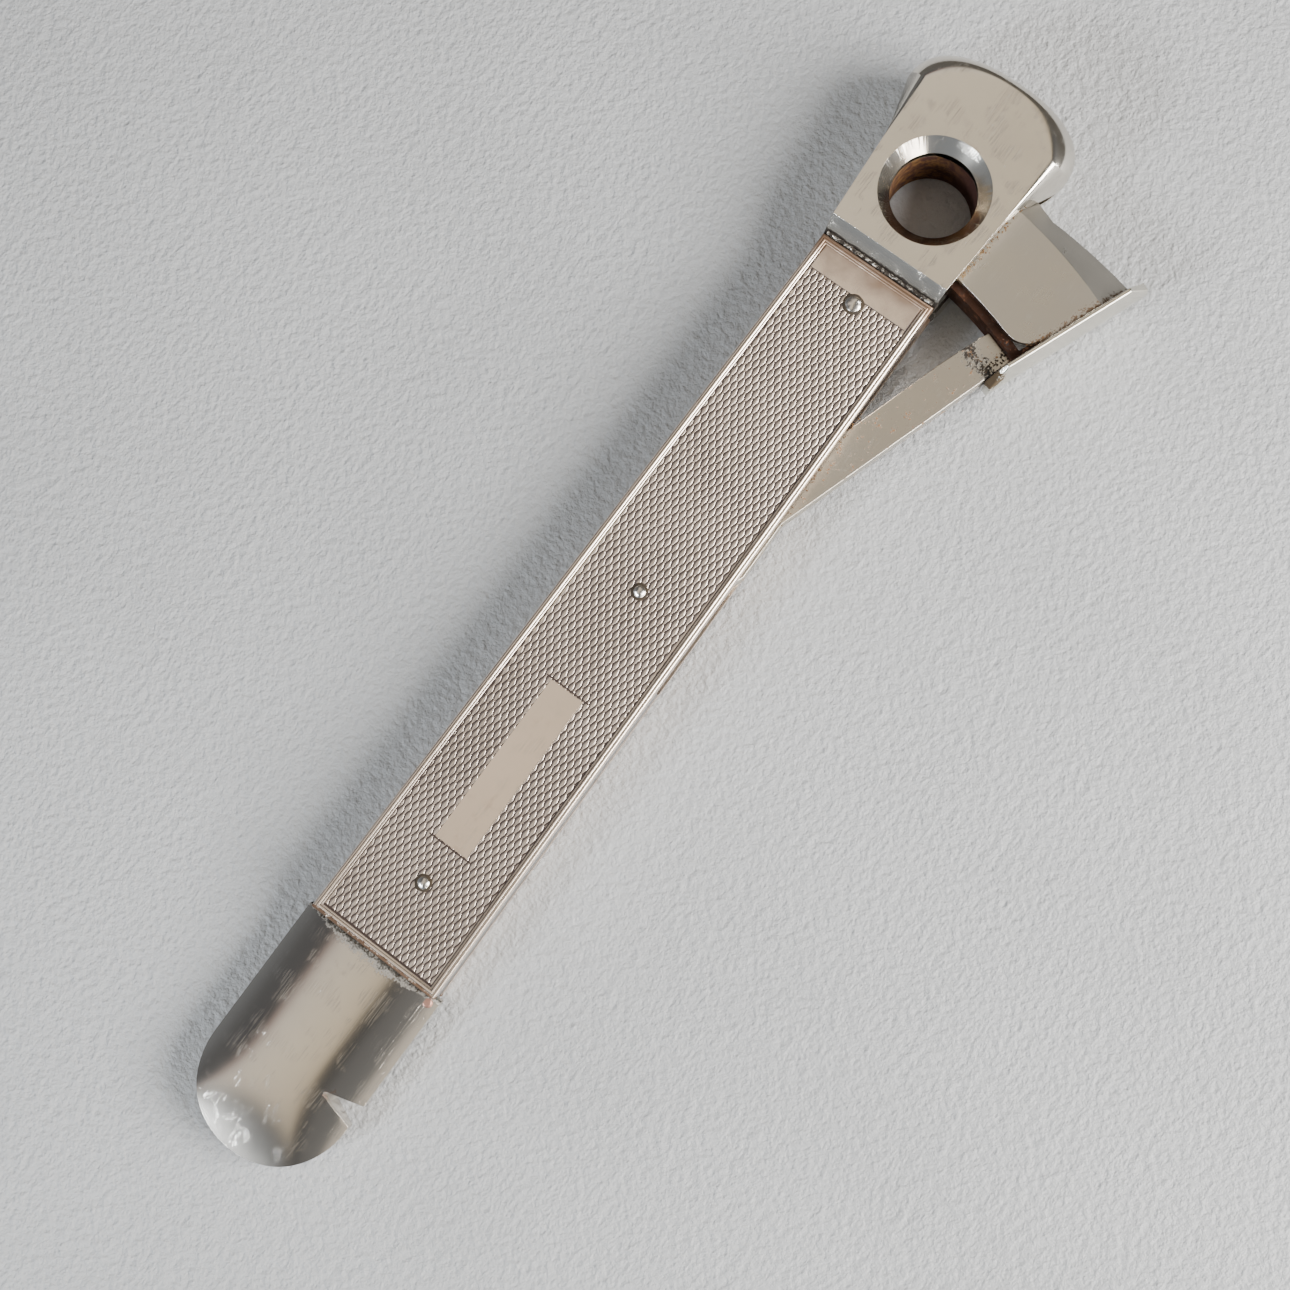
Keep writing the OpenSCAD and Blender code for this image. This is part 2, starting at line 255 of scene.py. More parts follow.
def new_group(name, inputs, outputs):
    """An empty shader node group with named sockets, its wiring, and its input and output nodes."""
    tree = bpy.data.node_groups.new(name, "ShaderNodeTree")
    for label, kind, value in inputs:
        socket = tree.interface.new_socket(label, in_out="INPUT", socket_type=kind)
        if value is not None:
            socket.default_value = value
    for label in outputs:
        tree.interface.new_socket(label, in_out="OUTPUT", socket_type="NodeSocketFloat")
    wiring = Wiring(tree)
    entry = wiring.add("NodeGroupInput").outputs
    leave = wiring.add("NodeGroupOutput").inputs
    return tree, wiring, entry, leave


def make_speckle_group():
    """Soiling in speckles: more of it where Near is high."""
    tree, w, entry, leave = new_group(
        "Speckled Soiling",
        [
            ("Vector", "NodeSocketVector", None),
            ("Scale", "NodeSocketFloat", 1.0),
            ("Near", "NodeSocketFloat", 1.0),
            ("Share", "NodeSocketFloat", 0.3),
            ("Softness", "NodeSocketFloat", 0.06),
        ],
        ["Mask"],
    )
    coarse = w.noise(entry["Vector"], entry["Scale"], 5.0, 0.7)
    fine_scale = w.maths("MULTIPLY", entry["Scale"], 4.3)
    fine = w.noise(entry["Vector"], fine_scale, 3.0, 0.6)
    grain = w.maths("ADD", w.maths("MULTIPLY", coarse, 0.62), w.maths("MULTIPLY", fine, 0.38))
    share = w.maths("MULTIPLY", entry["Share"], entry["Near"])
    level = w.maths("SUBTRACT", 0.78, w.maths("MULTIPLY", share, 0.56))
    top = w.maths("ADD", level, entry["Softness"])
    w.feed(leave["Mask"], w.ramp(grain, level, top))
    return tree


def make_scratch_group():
    """Fine scratches in two directions."""
    tree, w, entry, leave = new_group(
        "Fine Scratches",
        [
            ("Vector", "NodeSocketVector", None),
            ("Scale", "NodeSocketFloat", 1.0),
            ("Width", "NodeSocketFloat", 0.012),
        ],
        ["Mask"],
    )
    masks = []
    for turn, length in ((31.0, 0.05), (-52.0, 0.09), (8.0, 0.04)):
        lane = w.stretched(entry["Vector"], (length, 1.6, 1.0), turn)
        wave = w.noise(lane, entry["Scale"], 2.0, 0.5)
        off = w.maths("ABSOLUTE", w.maths("SUBTRACT", wave, 0.5))
        masks.append(w.ramp(off, 0.0, entry["Width"], 1.0, 0.0))
    patches = w.ramp(w.noise(entry["Vector"], 0.35, 2.0), 0.45, 0.62)
    joined = w.maths("MAXIMUM", w.maths("MAXIMUM", masks[0], masks[1]), masks[2])
    w.feed(leave["Mask"], w.maths("MULTIPLY", joined, patches))
    return tree


def make_cloud_group():
    """Broad, soft changes of tone."""
    tree, w, entry, leave = new_group(
        "Tone Clouds",
        [
            ("Vector", "NodeSocketVector", None),
            ("Scale", "NodeSocketFloat", 0.1),
            ("Contrast", "NodeSocketFloat", 1.0),
        ],
        ["Value"],
    )
    soft = w.noise(entry["Vector"], entry["Scale"], 4.0, 0.6)
    spread = w.maths("MULTIPLY", w.maths("SUBTRACT", soft, 0.5), entry["Contrast"])
    w.feed(leave["Value"], w.maths("ADD", spread, 0.5, clamp=True))
    return tree


GROUPS = {}


def shared(name):
    """The shared node group of that name, made the first time it is asked for."""
    makers = {"speckle": make_speckle_group, "scratch": make_scratch_group, "cloud": make_cloud_group}
    if name not in GROUPS:
        GROUPS[name] = makers[name]()
    return GROUPS[name]


# ---------------------------------------------------------------- finishes


class Coat:
    """One layer of a finish: where it lies, its colour, its roughness and how metallic it is."""

    def __init__(self, where, colour, roughness=0.8, metallic=0.0, height=0.0):
        self.where = where
        self.colour = colour
        self.roughness = roughness
        self.metallic = metallic
        self.height = height


def metal(
        name, colour, shade, roughness, cloud_scale=0.12, scratches=0.25, coats=(), grain=0.0, metallic=1.0):
    """A metal with broad tone changes, fine scratches, and layers of soiling, wear and painted shade over
    it.
    """
    material = bpy.data.materials.new(name)
    material.use_nodes = True
    w = Wiring(material.node_tree)
    shader = material.node_tree.nodes["Principled BSDF"]
    place = w.millimetres()
    clouds = w.group(shared("cloud"), Vector=place, Scale=cloud_scale, Contrast=1.6)["Value"]
    marks = w.group(shared("scratch"), Vector=place, Scale=1.1)["Mask"]
    base = w.blend(clouds, colour, shade)
    base = w.blend(w.maths("MULTIPLY", marks, scratches * 0.5), base, (0.9, 0.88, 0.84))
    rough = w.ramp(clouds, 0.2, 0.9, roughness * 0.85, roughness * 1.2)
    rough = w.maths("ADD", rough, w.maths("MULTIPLY", marks, 0.12 * scratches))
    height = w.maths("MULTIPLY", marks, -0.25 * scratches)
    if grain:
        brushed = w.noise(w.stretched(place, (0.25, 6.0, 6.0)), 2.2, 2.0)
        height = w.maths("ADD", height, w.maths("MULTIPLY", brushed, grain))
    for coat in coats:
        mask = coat.where(w, place)
        base = w.blend(mask, base, coat.colour)
        rough = w.ramp(mask, 0.0, 1.0, rough, coat.roughness)
        if metallic != coat.metallic:
            metallic = w.ramp(mask, 0.0, 1.0, metallic, coat.metallic)
        if coat.height:
            height = w.maths("ADD", height, w.maths("MULTIPLY", mask, coat.height))
    w.feed(shader.inputs["Base Color"], base)
    w.feed(shader.inputs["Roughness"], rough)
    w.feed(shader.inputs["Metallic"], metallic)
    bump = w.add("ShaderNodeBump", {"Height": height, "Strength": 0.5, "Distance": 0.06 * MM})
    w.feed(shader.inputs["Normal"], bump.outputs[0])
    return material


def specks(scale, share, near=None, softness=0.06):
    """Where speckled soiling lies, more of it where near(w, place) is high."""

    def where(w, place):
        closeness = near(w, place) if near else 1.0
        return w.group(
            shared("speckle"), Vector=place, Scale=scale, Share=share, Near=closeness, Softness=softness
        )["Mask"]

    return where


def along_x(station, reach):
    """High at a station along X, fading out over a reach."""

    def where(w, place):
        off = w.maths("ABSOLUTE", w.maths("SUBTRACT", w.axes(place)["X"], station))
        return w.ramp(off, 0.0, reach, 1.0, 0.0)

    return where


def about_point(centre, reach, core=0.0):
    """High about a point, fading out over a reach."""

    def where(w, place):
        away = w.add("ShaderNodeVectorMath", {0: place, 1: centre}, operation="DISTANCE").outputs["Value"]
        return w.ramp(away, core, reach, 1.0, 0.0)

    return where


def in_bore(w, place):
    """High on the wall of the cigar hole, below the countersink."""
    axes = w.axes(place)
    flat = w.add("ShaderNodeCombineXYZ", {"X": axes["X"], "Y": axes["Y"]}).outputs[0]
    away = w.add("ShaderNodeVectorMath", {0: flat}, operation="LENGTH").outputs["Value"]
    near_wall = w.ramp(away, HOLE_R + 0.02, HOLE_R + 0.08, 1.0, 0.0)
    below = w.ramp(axes["Z"], BLADE_TOP - 0.2, BLADE_TOP + 0.25, 1.0, 0.0)
    return w.maths("MULTIPLY", near_wall, below)


def bore_stain(w, place):
    """High in broken patches on one side of the hole's wall."""
    side = w.ramp(w.axes(place)["Y"], -3.0, 4.0)
    broken = w.ramp(w.noise(place, 0.9, 4.0, 0.65), 0.4, 0.62)
    return w.maths("MULTIPLY", in_bore(w, place), w.maths("MULTIPLY", side, broken))


def radius_band(low, high, soft):
    """High between two radii from the lever's pivot."""

    def where(w, place):
        centre = (PIVOT.x, PIVOT.y, 0.0)
        axes = w.axes(place)
        flat = w.add("ShaderNodeCombineXYZ", {"X": axes["X"], "Y": axes["Y"]}).outputs[0]
        away = w.add("ShaderNodeVectorMath", {0: flat, 1: centre}, operation="DISTANCE").outputs["Value"]
        return w.maths("MULTIPLY", w.ramp(away, low, low + soft), w.ramp(away, high - soft, high, 1.0, 0.0))

    return where


def patina_by_head(w, place):
    """A brown stain on the scale that fades away from the head."""
    cloud = w.maths("MULTIPLY", w.maths("SUBTRACT", w.noise(place, 0.3, 3.0), 0.5), 5.0)
    away = w.maths("ADD", w.maths("SUBTRACT", SCALE_X, w.axes(place)["X"]), cloud)
    return w.ramp(away, 0.0, 5.0, 0.95, 0.0)


def nose_joint(w, place):
    """High along the joint of nose and scale, widest in the middle."""
    axes = w.axes(place)
    reach = w.ramp(w.maths("ABSOLUTE", axes["Y"]), 2.0, 11.0, 3.6, 1.2)
    return w.ramp(w.maths("SUBTRACT", NOSE_X, axes["X"]), 0.0, reach, 1.0, 0.0)


def near_thumb_plate(reach):
    """High beside the thumb plate's inner face."""
    foot = about_pivot(58.0, OPEN_ANGLE, 0.0)
    across = Vector((-math.sin(math.radians(OPEN_ANGLE)), math.cos(math.radians(OPEN_ANGLE)), 0.0))

    def where(w, place):
        local = w.add("ShaderNodeVectorMath", {0: place, 1: foot}, operation="SUBTRACT").outputs[0]
        off = w.add("ShaderNodeVectorMath", {0: local, 1: across}, operation="DOT_PRODUCT").outputs["Value"]
        return w.ramp(off, 0.0, reach, 1.0, 0.0)

    return where


def near_head_side(reach):
    """High beside the head's open side, where the blade goes in."""

    def where(w, place):
        return w.ramp(w.axes(place)["Y"], HEAD_SIDE_Y - reach, HEAD_SIDE_Y + 0.3)

    return where


GRIME = (0.022, 0.016, 0.011)
GOLDEN_RUST = (0.2, 0.1, 0.03)
BROWN = (0.1, 0.055, 0.03)
PATINA = (0.27, 0.17, 0.11)
MATERIALS = {}


def head_finish():
    settings = bpy.context.scene.cutter_head
    coats = [
        # painted shade: dark nickel fading out within 2.6 mm of the scale's head end, standing in for the
        # shoulder slope's dark reflection
        Coat(along_x(SCALE_X, 2.6), (0.16, 0.14, 0.11), 0.3, 1.0),
        Coat(specks(0.7, 1.5, along_x(SCALE_X, 1.5), 0.15), GRIME),
        Coat(specks(0.5, 0.26), (0.8, 0.78, 0.74), 0.3, 1.0),
        Coat(in_bore, tuple(settings.bore_rust), 0.75, 0.15, 0.3),
        Coat(bore_stain, GOLDEN_RUST, 0.7, 0.25, 0.6),
    ]
    nickel = tuple(settings.nickel)
    return metal("Polished Nickel Head", nickel, (0.68, 0.64, 0.57), 0.17, 0.08, 0.5, coats)


def nose_finish():
    nickel = tuple(bpy.context.scene.cutter_head.nickel)
    beside_notch = about_point((NOSE_X - 17.6, -6.4, 7.5), 3.4)
    coats = [
        Coat(specks(0.8, 0.95, nose_joint, 0.3), (0.04, 0.036, 0.028), 0.75, 0.2, 0.12),
        Coat(specks(0.5, 0.75, beside_notch, 0.2), (0.5, 0.33, 0.25), 0.3, 1.0),
    ]
    return metal("Polished Nickel Nose", nickel, (0.68, 0.63, 0.56), 0.16, 0.06, 0.35, coats)


def plate_finish():
    nickel = tuple(bpy.context.scene.cutter_head.nickel)
    edge = about_point(about_pivot(53.0, OPEN_ANGLE, 7.5), 5.0)
    coats = [
        Coat(specks(0.9, 0.9, edge), (0.07, 0.045, 0.02)),
        Coat(specks(0.6, 0.22), (0.3, 0.24, 0.14), 0.6),
    ]
    return metal("Nickel Thumb Plate", nickel, (0.6, 0.6, 0.52), 0.2, 0.15, 0.4, coats)


def groove_mask(w, place):
    """High at the bottom of each engine-turned line."""
    groove = w.add("ShaderNodeAttribute", attribute_name="groove").outputs["Fac"]
    uneven = w.ramp(w.noise(place, 0.14, 3.0), 0.35, 0.7, 0.35, 0.0)
    return w.ramp(groove, uneven, 0.75)


def scale_finish(name, coats, roughness=0.3):
    settings = bpy.context.scene.cutter_scale
    silver = tuple(settings.silver)
    worn = Coat(specks(0.16, 0.42, None, 0.25), (0.74, 0.58, 0.49), roughness * 1.1, 1.0)
    return metal(name, silver, (0.87, 0.74, 0.63), roughness, 0.07, 0.3, [worn, *coats])


def field_finish():
    tarnish = tuple(bpy.context.scene.cutter_scale.tarnish)
    return scale_finish("Engine-Turned Silver", [Coat(groove_mask, tarnish, 0.7, 0.0)], 0.33)


def border_finish():
    tarnish = tuple(bpy.context.scene.cutter_scale.tarnish)
    coats = [
        Coat(groove_mask, tarnish, 0.7, 0.0),
        Coat(patina_by_head, PATINA, 0.42, 0.8),
        Coat(specks(0.9, 0.8, along_x(NOSE_X, 1.2)), BROWN, 0.8),
    ]
    return scale_finish("Silver Border", coats, 0.26)


def cartouche_finish():
    warm_clouds = Coat(specks(0.35, 0.2, None, 0.15), (0.86, 0.72, 0.52), 0.24, 1.0)
    return scale_finish("Silver Cartouche", [warm_clouds], 0.2)


def blade_finish():
    steel = tuple(bpy.context.scene.cutter_lever.steel)
    coats = [
        Coat(specks(0.8, 0.55, near_head_side(1.8)), (0.2, 0.13, 0.06), 0.8),
        Coat(specks(1.3, 0.62, near_thumb_plate(2.6)), (0.12, 0.07, 0.035), 0.8),
        Coat(specks(0.7, 0.2), (0.36, 0.31, 0.24), 0.5, 0.8),
    ]
    return metal("Satin Blade Steel", steel, (0.53, 0.5, 0.45), 0.3, 0.1, 0.25, coats, 0.05)


def arm_finish():
    coats = [
        Coat(specks(1.0, 0.66, radius_band(49.0, 58.0, 5.0)), GRIME, 0.9, 0.0, 0.6),
        Coat(specks(0.75, 0.4), (0.24, 0.13, 0.06), 0.8, 0.1, 0.4),
        Coat(specks(0.3, 0.24, None, 0.2), (0.42, 0.38, 0.31), 0.45, 1.0),
    ]
    return metal("Worn Lever Steel", (0.6, 0.56, 0.49), (0.48, 0.44, 0.37), 0.34, 0.12, 0.3, coats, 0.12)


def carrier_finish():
    rust = tuple(bpy.context.scene.cutter_lever.rust)
    coats = [
        Coat(specks(0.7, 0.4), (0.13, 0.05, 0.02), 0.9, 0.0, 0.8),
        Coat(specks(1.2, 0.42), (0.02, 0.014, 0.012), 0.95, 0.0, -0.6),
        Coat(specks(0.5, 0.25), (0.2, 0.025, 0.02), 0.8),
    ]
    return metal("Rusted Carrier", rust, (0.06, 0.035, 0.025), 0.8, 0.4, 0.0, coats)


def liner_finish():
    coats = [Coat(specks(0.7, 0.42), (0.12, 0.1, 0.085), 0.7, 0.4)]
    return metal("Dull Liner Steel", (0.4, 0.41, 0.42), (0.26, 0.26, 0.27), 0.38, 0.12, 0.2, coats)


def spring_finish():
    coats = [Coat(specks(0.8, 0.3), (0.14, 0.07, 0.03), 0.8)]
    return metal("Blued Spring Steel", (0.2, 0.22, 0.28), (0.12, 0.13, 0.17), 0.35, 0.2, 0.2, coats)


def pin_finish():
    coats = [Coat(specks(1.2, 0.35, None, 0.12), (0.42, 0.36, 0.3), 0.5, 0.8)]
    return metal("Worn Silver Pins", (0.84, 0.8, 0.74), (0.66, 0.62, 0.56), 0.24, 0.5, 0.4, coats)


def bronze_finish():
    coats = [Coat(specks(0.9, 0.3), (0.16, 0.09, 0.04), 0.7, 0.3)]
    return metal("Bronze Bush", (0.55, 0.34, 0.14), (0.4, 0.25, 0.1), 0.35, 0.3, 0.2, coats)


def braze_finish():
    coats = [Coat(specks(1.4, 0.35), (0.14, 0.07, 0.05), 0.7, 0.3)]
    return metal("Copper Braze", (0.66, 0.38, 0.3), (0.5, 0.28, 0.22), 0.42, 0.5, 0.1, coats)


def solder_finish():
    coats = [
        Coat(specks(1.1, 0.62), GRIME, 0.9, 0.0, -0.8),
        Coat(specks(0.8, 0.3), (0.16, 0.1, 0.05), 0.8),
    ]
    return metal("Pitted Solder", (0.72, 0.68, 0.62), (0.5, 0.46, 0.4), 0.34, 0.6, 0.2, coats)


def crumb_finish(name, colour, shade):
    coats = [Coat(specks(2.0, 0.5), shade, 0.95)]
    return metal(name, colour, shade, 0.9, 0.8, 0.0, coats, metallic=0.0)


FINISHES = {
    "head": head_finish,
    "nose": nose_finish,
    "thumb_plate": plate_finish,
    "field": field_finish,
    "border": border_finish,
    "cartouche": cartouche_finish,
    "blade": blade_finish,
    "arm": arm_finish,
    "carrier": carrier_finish,
    "liner": liner_finish,
    "spring": spring_finish,
    "pin": pin_finish,
    "bronze": bronze_finish,
    "braze": braze_finish,
    "solder": solder_finish,
    "grime": lambda: crumb_finish("Dark Grime", GRIME, (0.05, 0.035, 0.02)),
    "golden_rust": lambda: crumb_finish("Golden Rust", GOLDEN_RUST, (0.12, 0.06, 0.02)),
}


def finish_of(name):
    """The finish of that name, made the first time it is asked for."""
    if name not in MATERIALS:
        MATERIALS[name] = FINISHES[name]()
    return MATERIALS[name]


# ---------------------------------------------------------------- mesh helpers, in millimetres


def to_object(bm, name):
    """A mesh object in metres from a bmesh in millimetres."""
    bmesh.ops.recalc_face_normals(bm, faces=bm.faces)
    bmesh.ops.scale(bm, vec=(MM, MM, MM), verts=bm.verts)
    mesh = bpy.data.meshes.new(name)
    bm.to_mesh(mesh)
    bm.free()
    piece = bpy.data.objects.new(name, mesh)
    bpy.context.scene.collection.objects.link(piece)
    return piece


def make_piece(bm, name, finish, body, stands_for=(), smooth_angle=35.0, weighted=True):
    """Finishes a bmesh as a shown piece that rides on a body."""
    piece = to_object(bm, name)
    dress(piece, finish, body, stands_for, smooth_angle, weighted)
    return piece


def dress(piece, finish, body, stands_for=(), smooth_angle=35.0, weighted=True):
    """Gives a piece its shading, finish and body, and hides the nodes it stands for."""
    piece.data.materials.clear()
    piece.data.materials.append(finish_of(finish))
    piece.data.shade_smooth()
    piece.data.set_sharp_from_angle(angle=math.radians(smooth_angle))
    if weighted:
        normals = piece.modifiers.new("Flat Faces", "WEIGHTED_NORMAL")
        normals.keep_sharp = True
    if body:
        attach(piece, body)
    if stands_for:
        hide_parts(*stands_for)


def sharp_edges(bm, degrees, keep=None):
    """Edges whose two faces meet at more than that angle, and pass the keep test."""
    limit = math.radians(degrees)
    found = [e for e in bm.edges if len(e.link_faces) == 2 and e.calc_face_angle(0.0) > limit]
    return [e for e in found if keep is None or keep(e)]


def round_edges(bm, edges, width, segments=3):
    """Rounds edges by a width in millimetres."""
    bmesh.ops.bevel(
        bm, geom=edges, offset=width, offset_type="OFFSET", segments=segments, profile=0.5,
        affect="EDGES", clamp_overlap=True, material=-1,
    )


def node_copy(node):
    """A merged copy of a node's mesh, in millimetres, its flat faces joined."""
    bm = bmesh.new()
    bm.from_mesh(frame["nodes"][node].data)
    bmesh.ops.scale(bm, vec=(1 / MM,) * 3, verts=bm.verts)
    bmesh.ops.remove_doubles(bm, verts=bm.verts, dist=0.004)
    bmesh.ops.dissolve_limit(bm, angle_limit=math.radians(0.4), verts=bm.verts, edges=bm.edges)
    bmesh.ops.recalc_face_normals(bm, faces=bm.faces)
    return bm


def softened_node(node, name, finish, body, width, segments=2, angle=28.0):
    """A copy of a node with its edges rounded, that stands for it."""
    bm = node_copy(node)
    round_edges(bm, sharp_edges(bm, angle), width, segments)
    return make_piece(bm, name, finish, body, [node])


def paint_node(node, finish):
    """A finish on a node that is shown as it is."""
    obj = frame["nodes"][node]
    obj.data.materials.clear()
    obj.data.materials.append(finish_of(finish))


def lathe(points, start, end, steps, centre=(0.0, 0.0)):
    """A closed solid: a [radius, height] outline swept about a vertical axis between two angles."""
    bm = bmesh.new()
    turn = math.radians(start)
    corners = []
    for radius, height in points:
        x = centre[0] + radius * math.cos(turn)
        y = centre[1] + radius * math.sin(turn)
        corners.append(bm.verts.new((x, y, height)))
    full = abs(end - start) >= 360
    if full:
        for first, second in zip(corners, corners[1:] + corners[:1]):
            bm.edges.new((first, second))
    else:
        bm.faces.new(corners)
    geom = list(bm.verts) + list(bm.edges) + list(bm.faces)
    bmesh.ops.spin(
        bm, geom=geom, cent=(centre[0], centre[1], 0.0), axis=(0.0, 0.0, 1.0), steps=steps,
        angle=math.radians(end - start), use_merge=full,
    )
    bmesh.ops.remove_doubles(bm, verts=bm.verts, dist=0.0005)
    bmesh.ops.recalc_face_normals(bm, faces=bm.faces)
    return bm


def carve(piece, cutters):
    """Cuts each cutter's solid out of a piece."""
    tools = []
    for index, cutter in enumerate(cutters):
        tool = to_object(cutter, "cutter_%d" % index)
        tools.append(tool)
        cut = piece.modifiers.new("Cut", "BOOLEAN")
        cut.operation = "DIFFERENCE"
        cut.solver = "EXACT"
        cut.object = tool
    graph = bpy.context.evaluated_depsgraph_get()
    carved = bpy.data.meshes.new_from_object(piece.evaluated_get(graph))
    piece.modifiers.clear()
    piece.data = carved
    for tool in tools:
        bpy.data.objects.remove(tool)


def reopen(piece):
    """A bmesh in millimetres of a working object, which is removed."""
    bm = bmesh.new()
    bm.from_mesh(piece.data)
    bpy.data.objects.remove(piece)
    bmesh.ops.scale(bm, vec=(1 / MM,) * 3, verts=bm.verts)
    return bm


# ---------------------------------------------------------------- head

FLAT_R = 12.15
FLAT_CENTRE_X = 4.65
FLAT_HALF_ANGLE = math.radians(55.2)
LOBE_X = 12.3
LOBE_REACH = HEAD_HIGH.x - LOBE_X + 0.6
LOBE_HALF_W = HEAD_HIGH.y + 0.25
LOBE_POWER = 0.8
WAIST_X = 2.0
WAIST_HALF_W = 9.72
SHOULDER_HALF_W = 8.86
BEAD_R = 0.27
BEAD_LENGTH = 16.8
SHOULDER_X = -10.0
SHOULDER_SLOPE = (2.2, 1.9)
COUNTERSINK_R = 7.46
SLOT_LOW, WEB_SLOT_HIGH, ARM_POCKET_HIGH = 3.9, 8.3, 7.0
WEB_SLOT_R = (56.88, 58.52)
ARM_POCKET_R = (48.0, 57.4)


def end_point(across, rise):
    """Point of the head's rounded end; across and rise run from -1 to 1."""
    angle = across * FLAT_HALF_ANGLE
    flat_x = FLAT_CENTRE_X + FLAT_R * math.cos(angle)
    flat_y = FLAT_R * math.sin(angle)
    turn = across * math.pi / 2
    lobe_x = LOBE_X + LOBE_REACH * max(math.cos(turn), 0.0) ** LOBE_POWER
    lobe_y = math.copysign(LOBE_HALF_W * abs(math.sin(turn)) ** LOBE_POWER, across)
    share = math.cos(rise * math.pi / 2)
    x = flat_x * (1 - share) + lobe_x * share
    y = flat_y * (1 - share) + lobe_y * share
    return Vector((x, y, MID_Z + MID_Z * math.sin(rise * math.pi / 2)))


def head_shell():
    """The head's outer form before the hole and the slots: a rounded end drawn back to the shoulder."""
    bm = bmesh.new()
    bmesh.ops.create_grid(bm, x_segments=64, y_segments=26, size=1.0)
    for vert in bm.verts:
        vert.co = end_point(vert.co.x, vert.co.y)
    corner_y = FLAT_R * math.sin(FLAT_HALF_ANGLE)
    rim = [e for e in bm.edges if e.is_boundary]
    for station, half in ((WAIST_X, WAIST_HALF_W), (SCALE_X + 0.03, SHOULDER_HALF_W)):
        drawn = bmesh.ops.extrude_edge_only(bm, edges=rim)["geom"]
        for vert in (g for g in drawn if isinstance(g, bmesh.types.BMVert)):
            vert.co.x = station
            vert.co.y = max(-corner_y, min(corner_y, vert.co.y)) * half / corner_y
        corner_y = half
        rim = [g for g in drawn if isinstance(g, bmesh.types.BMEdge)]
    bmesh.ops.remove_doubles(bm, verts=bm.verts, dist=0.001)
    bmesh.ops.holes_fill(bm, edges=[e for e in bm.edges if e.is_boundary], sides=0)
    return bm


def cut_shoulders(bm):
    """The sloping shoulder that drops towards each scale."""
    for side in (1, -1):
        edge_z = MID_Z + side * MID_Z
        normal = Vector((-SHOULDER_SLOPE[0], 0.0, side * SHOULDER_SLOPE[1])).normalized()
        cut = bmesh.ops.bisect_plane(
            bm, geom=list(bm.verts) + list(bm.edges) + list(bm.faces),
            plane_co=(SHOULDER_X, 0.0, edge_z), plane_no=normal, clear_outer=True, dist=0.0005,
        )["geom_cut"]
        edges = [g for g in cut if isinstance(g, bmesh.types.BMEdge)]
        bmesh.ops.holes_fill(bm, edges=edges, sides=0)


def blade_outline(gap):
    """The folded blade's section as [radius, height] points, grown by a gap."""
    run = 1.4
    slant = math.hypot(1.0, run)
    near, ridge, thick, low = 58.2, 70.3, 0.9, 2.3
    foot = ridge + (BLADE_TOP - low) * run
    return [
        (near - gap, BLADE_TOP + gap),
        (ridge + gap * (slant - run), BLADE_TOP + gap),
        (foot + gap * (slant + run), low - gap),
        (foot - thick * slant - gap * (slant - run), low - gap),
        (ridge - (thick + gap) * (slant - run), BLADE_TOP - thick - gap),
        (near - gap, BLADE_TOP - thick - gap),
    ]


def box_outline(near, far, low, high):
    """A rectangle as [radius, height] points."""
    return [(near, low), (far, low), (far, high), (near, high)]


def head_cutters():
    """Solids of the hole, the countersink, the blade's slot, the carrier's slot and the lever's pocket."""
    top = HEAD_HIGH.z
    above = 0.87
    hole = [(0.0, -1.0), (HOLE_R, -1.0), (HOLE_R, COUNTERSINK_Z), (COUNTERSINK_R, top)]
    hole += [(8.23, top + above), (0.0, top + above)]
    centre = (PIVOT.x, PIVOT.y)
    web = box_outline(*WEB_SLOT_R, SLOT_LOW, WEB_SLOT_HIGH)
    pocket = box_outline(*ARM_POCKET_R, SLOT_LOW, ARM_POCKET_HIGH)
    return [
        lathe(hole, 0, 360, 128),
        lathe(blade_outline(0.12), -20, 6.9, 80, centre),
        lathe(web, -20, 3.6, 64, centre),
        lathe(pocket, -20, -3.1, 48, centre),
    ]


def on_countersink_foot(edge):
    """Whether an edge lies where the countersink meets the hole's wall."""
    return all(v.co.to_2d().length < 7.6 and v.co.z > COUNTERSINK_Z - 0.05 for v in edge.verts)


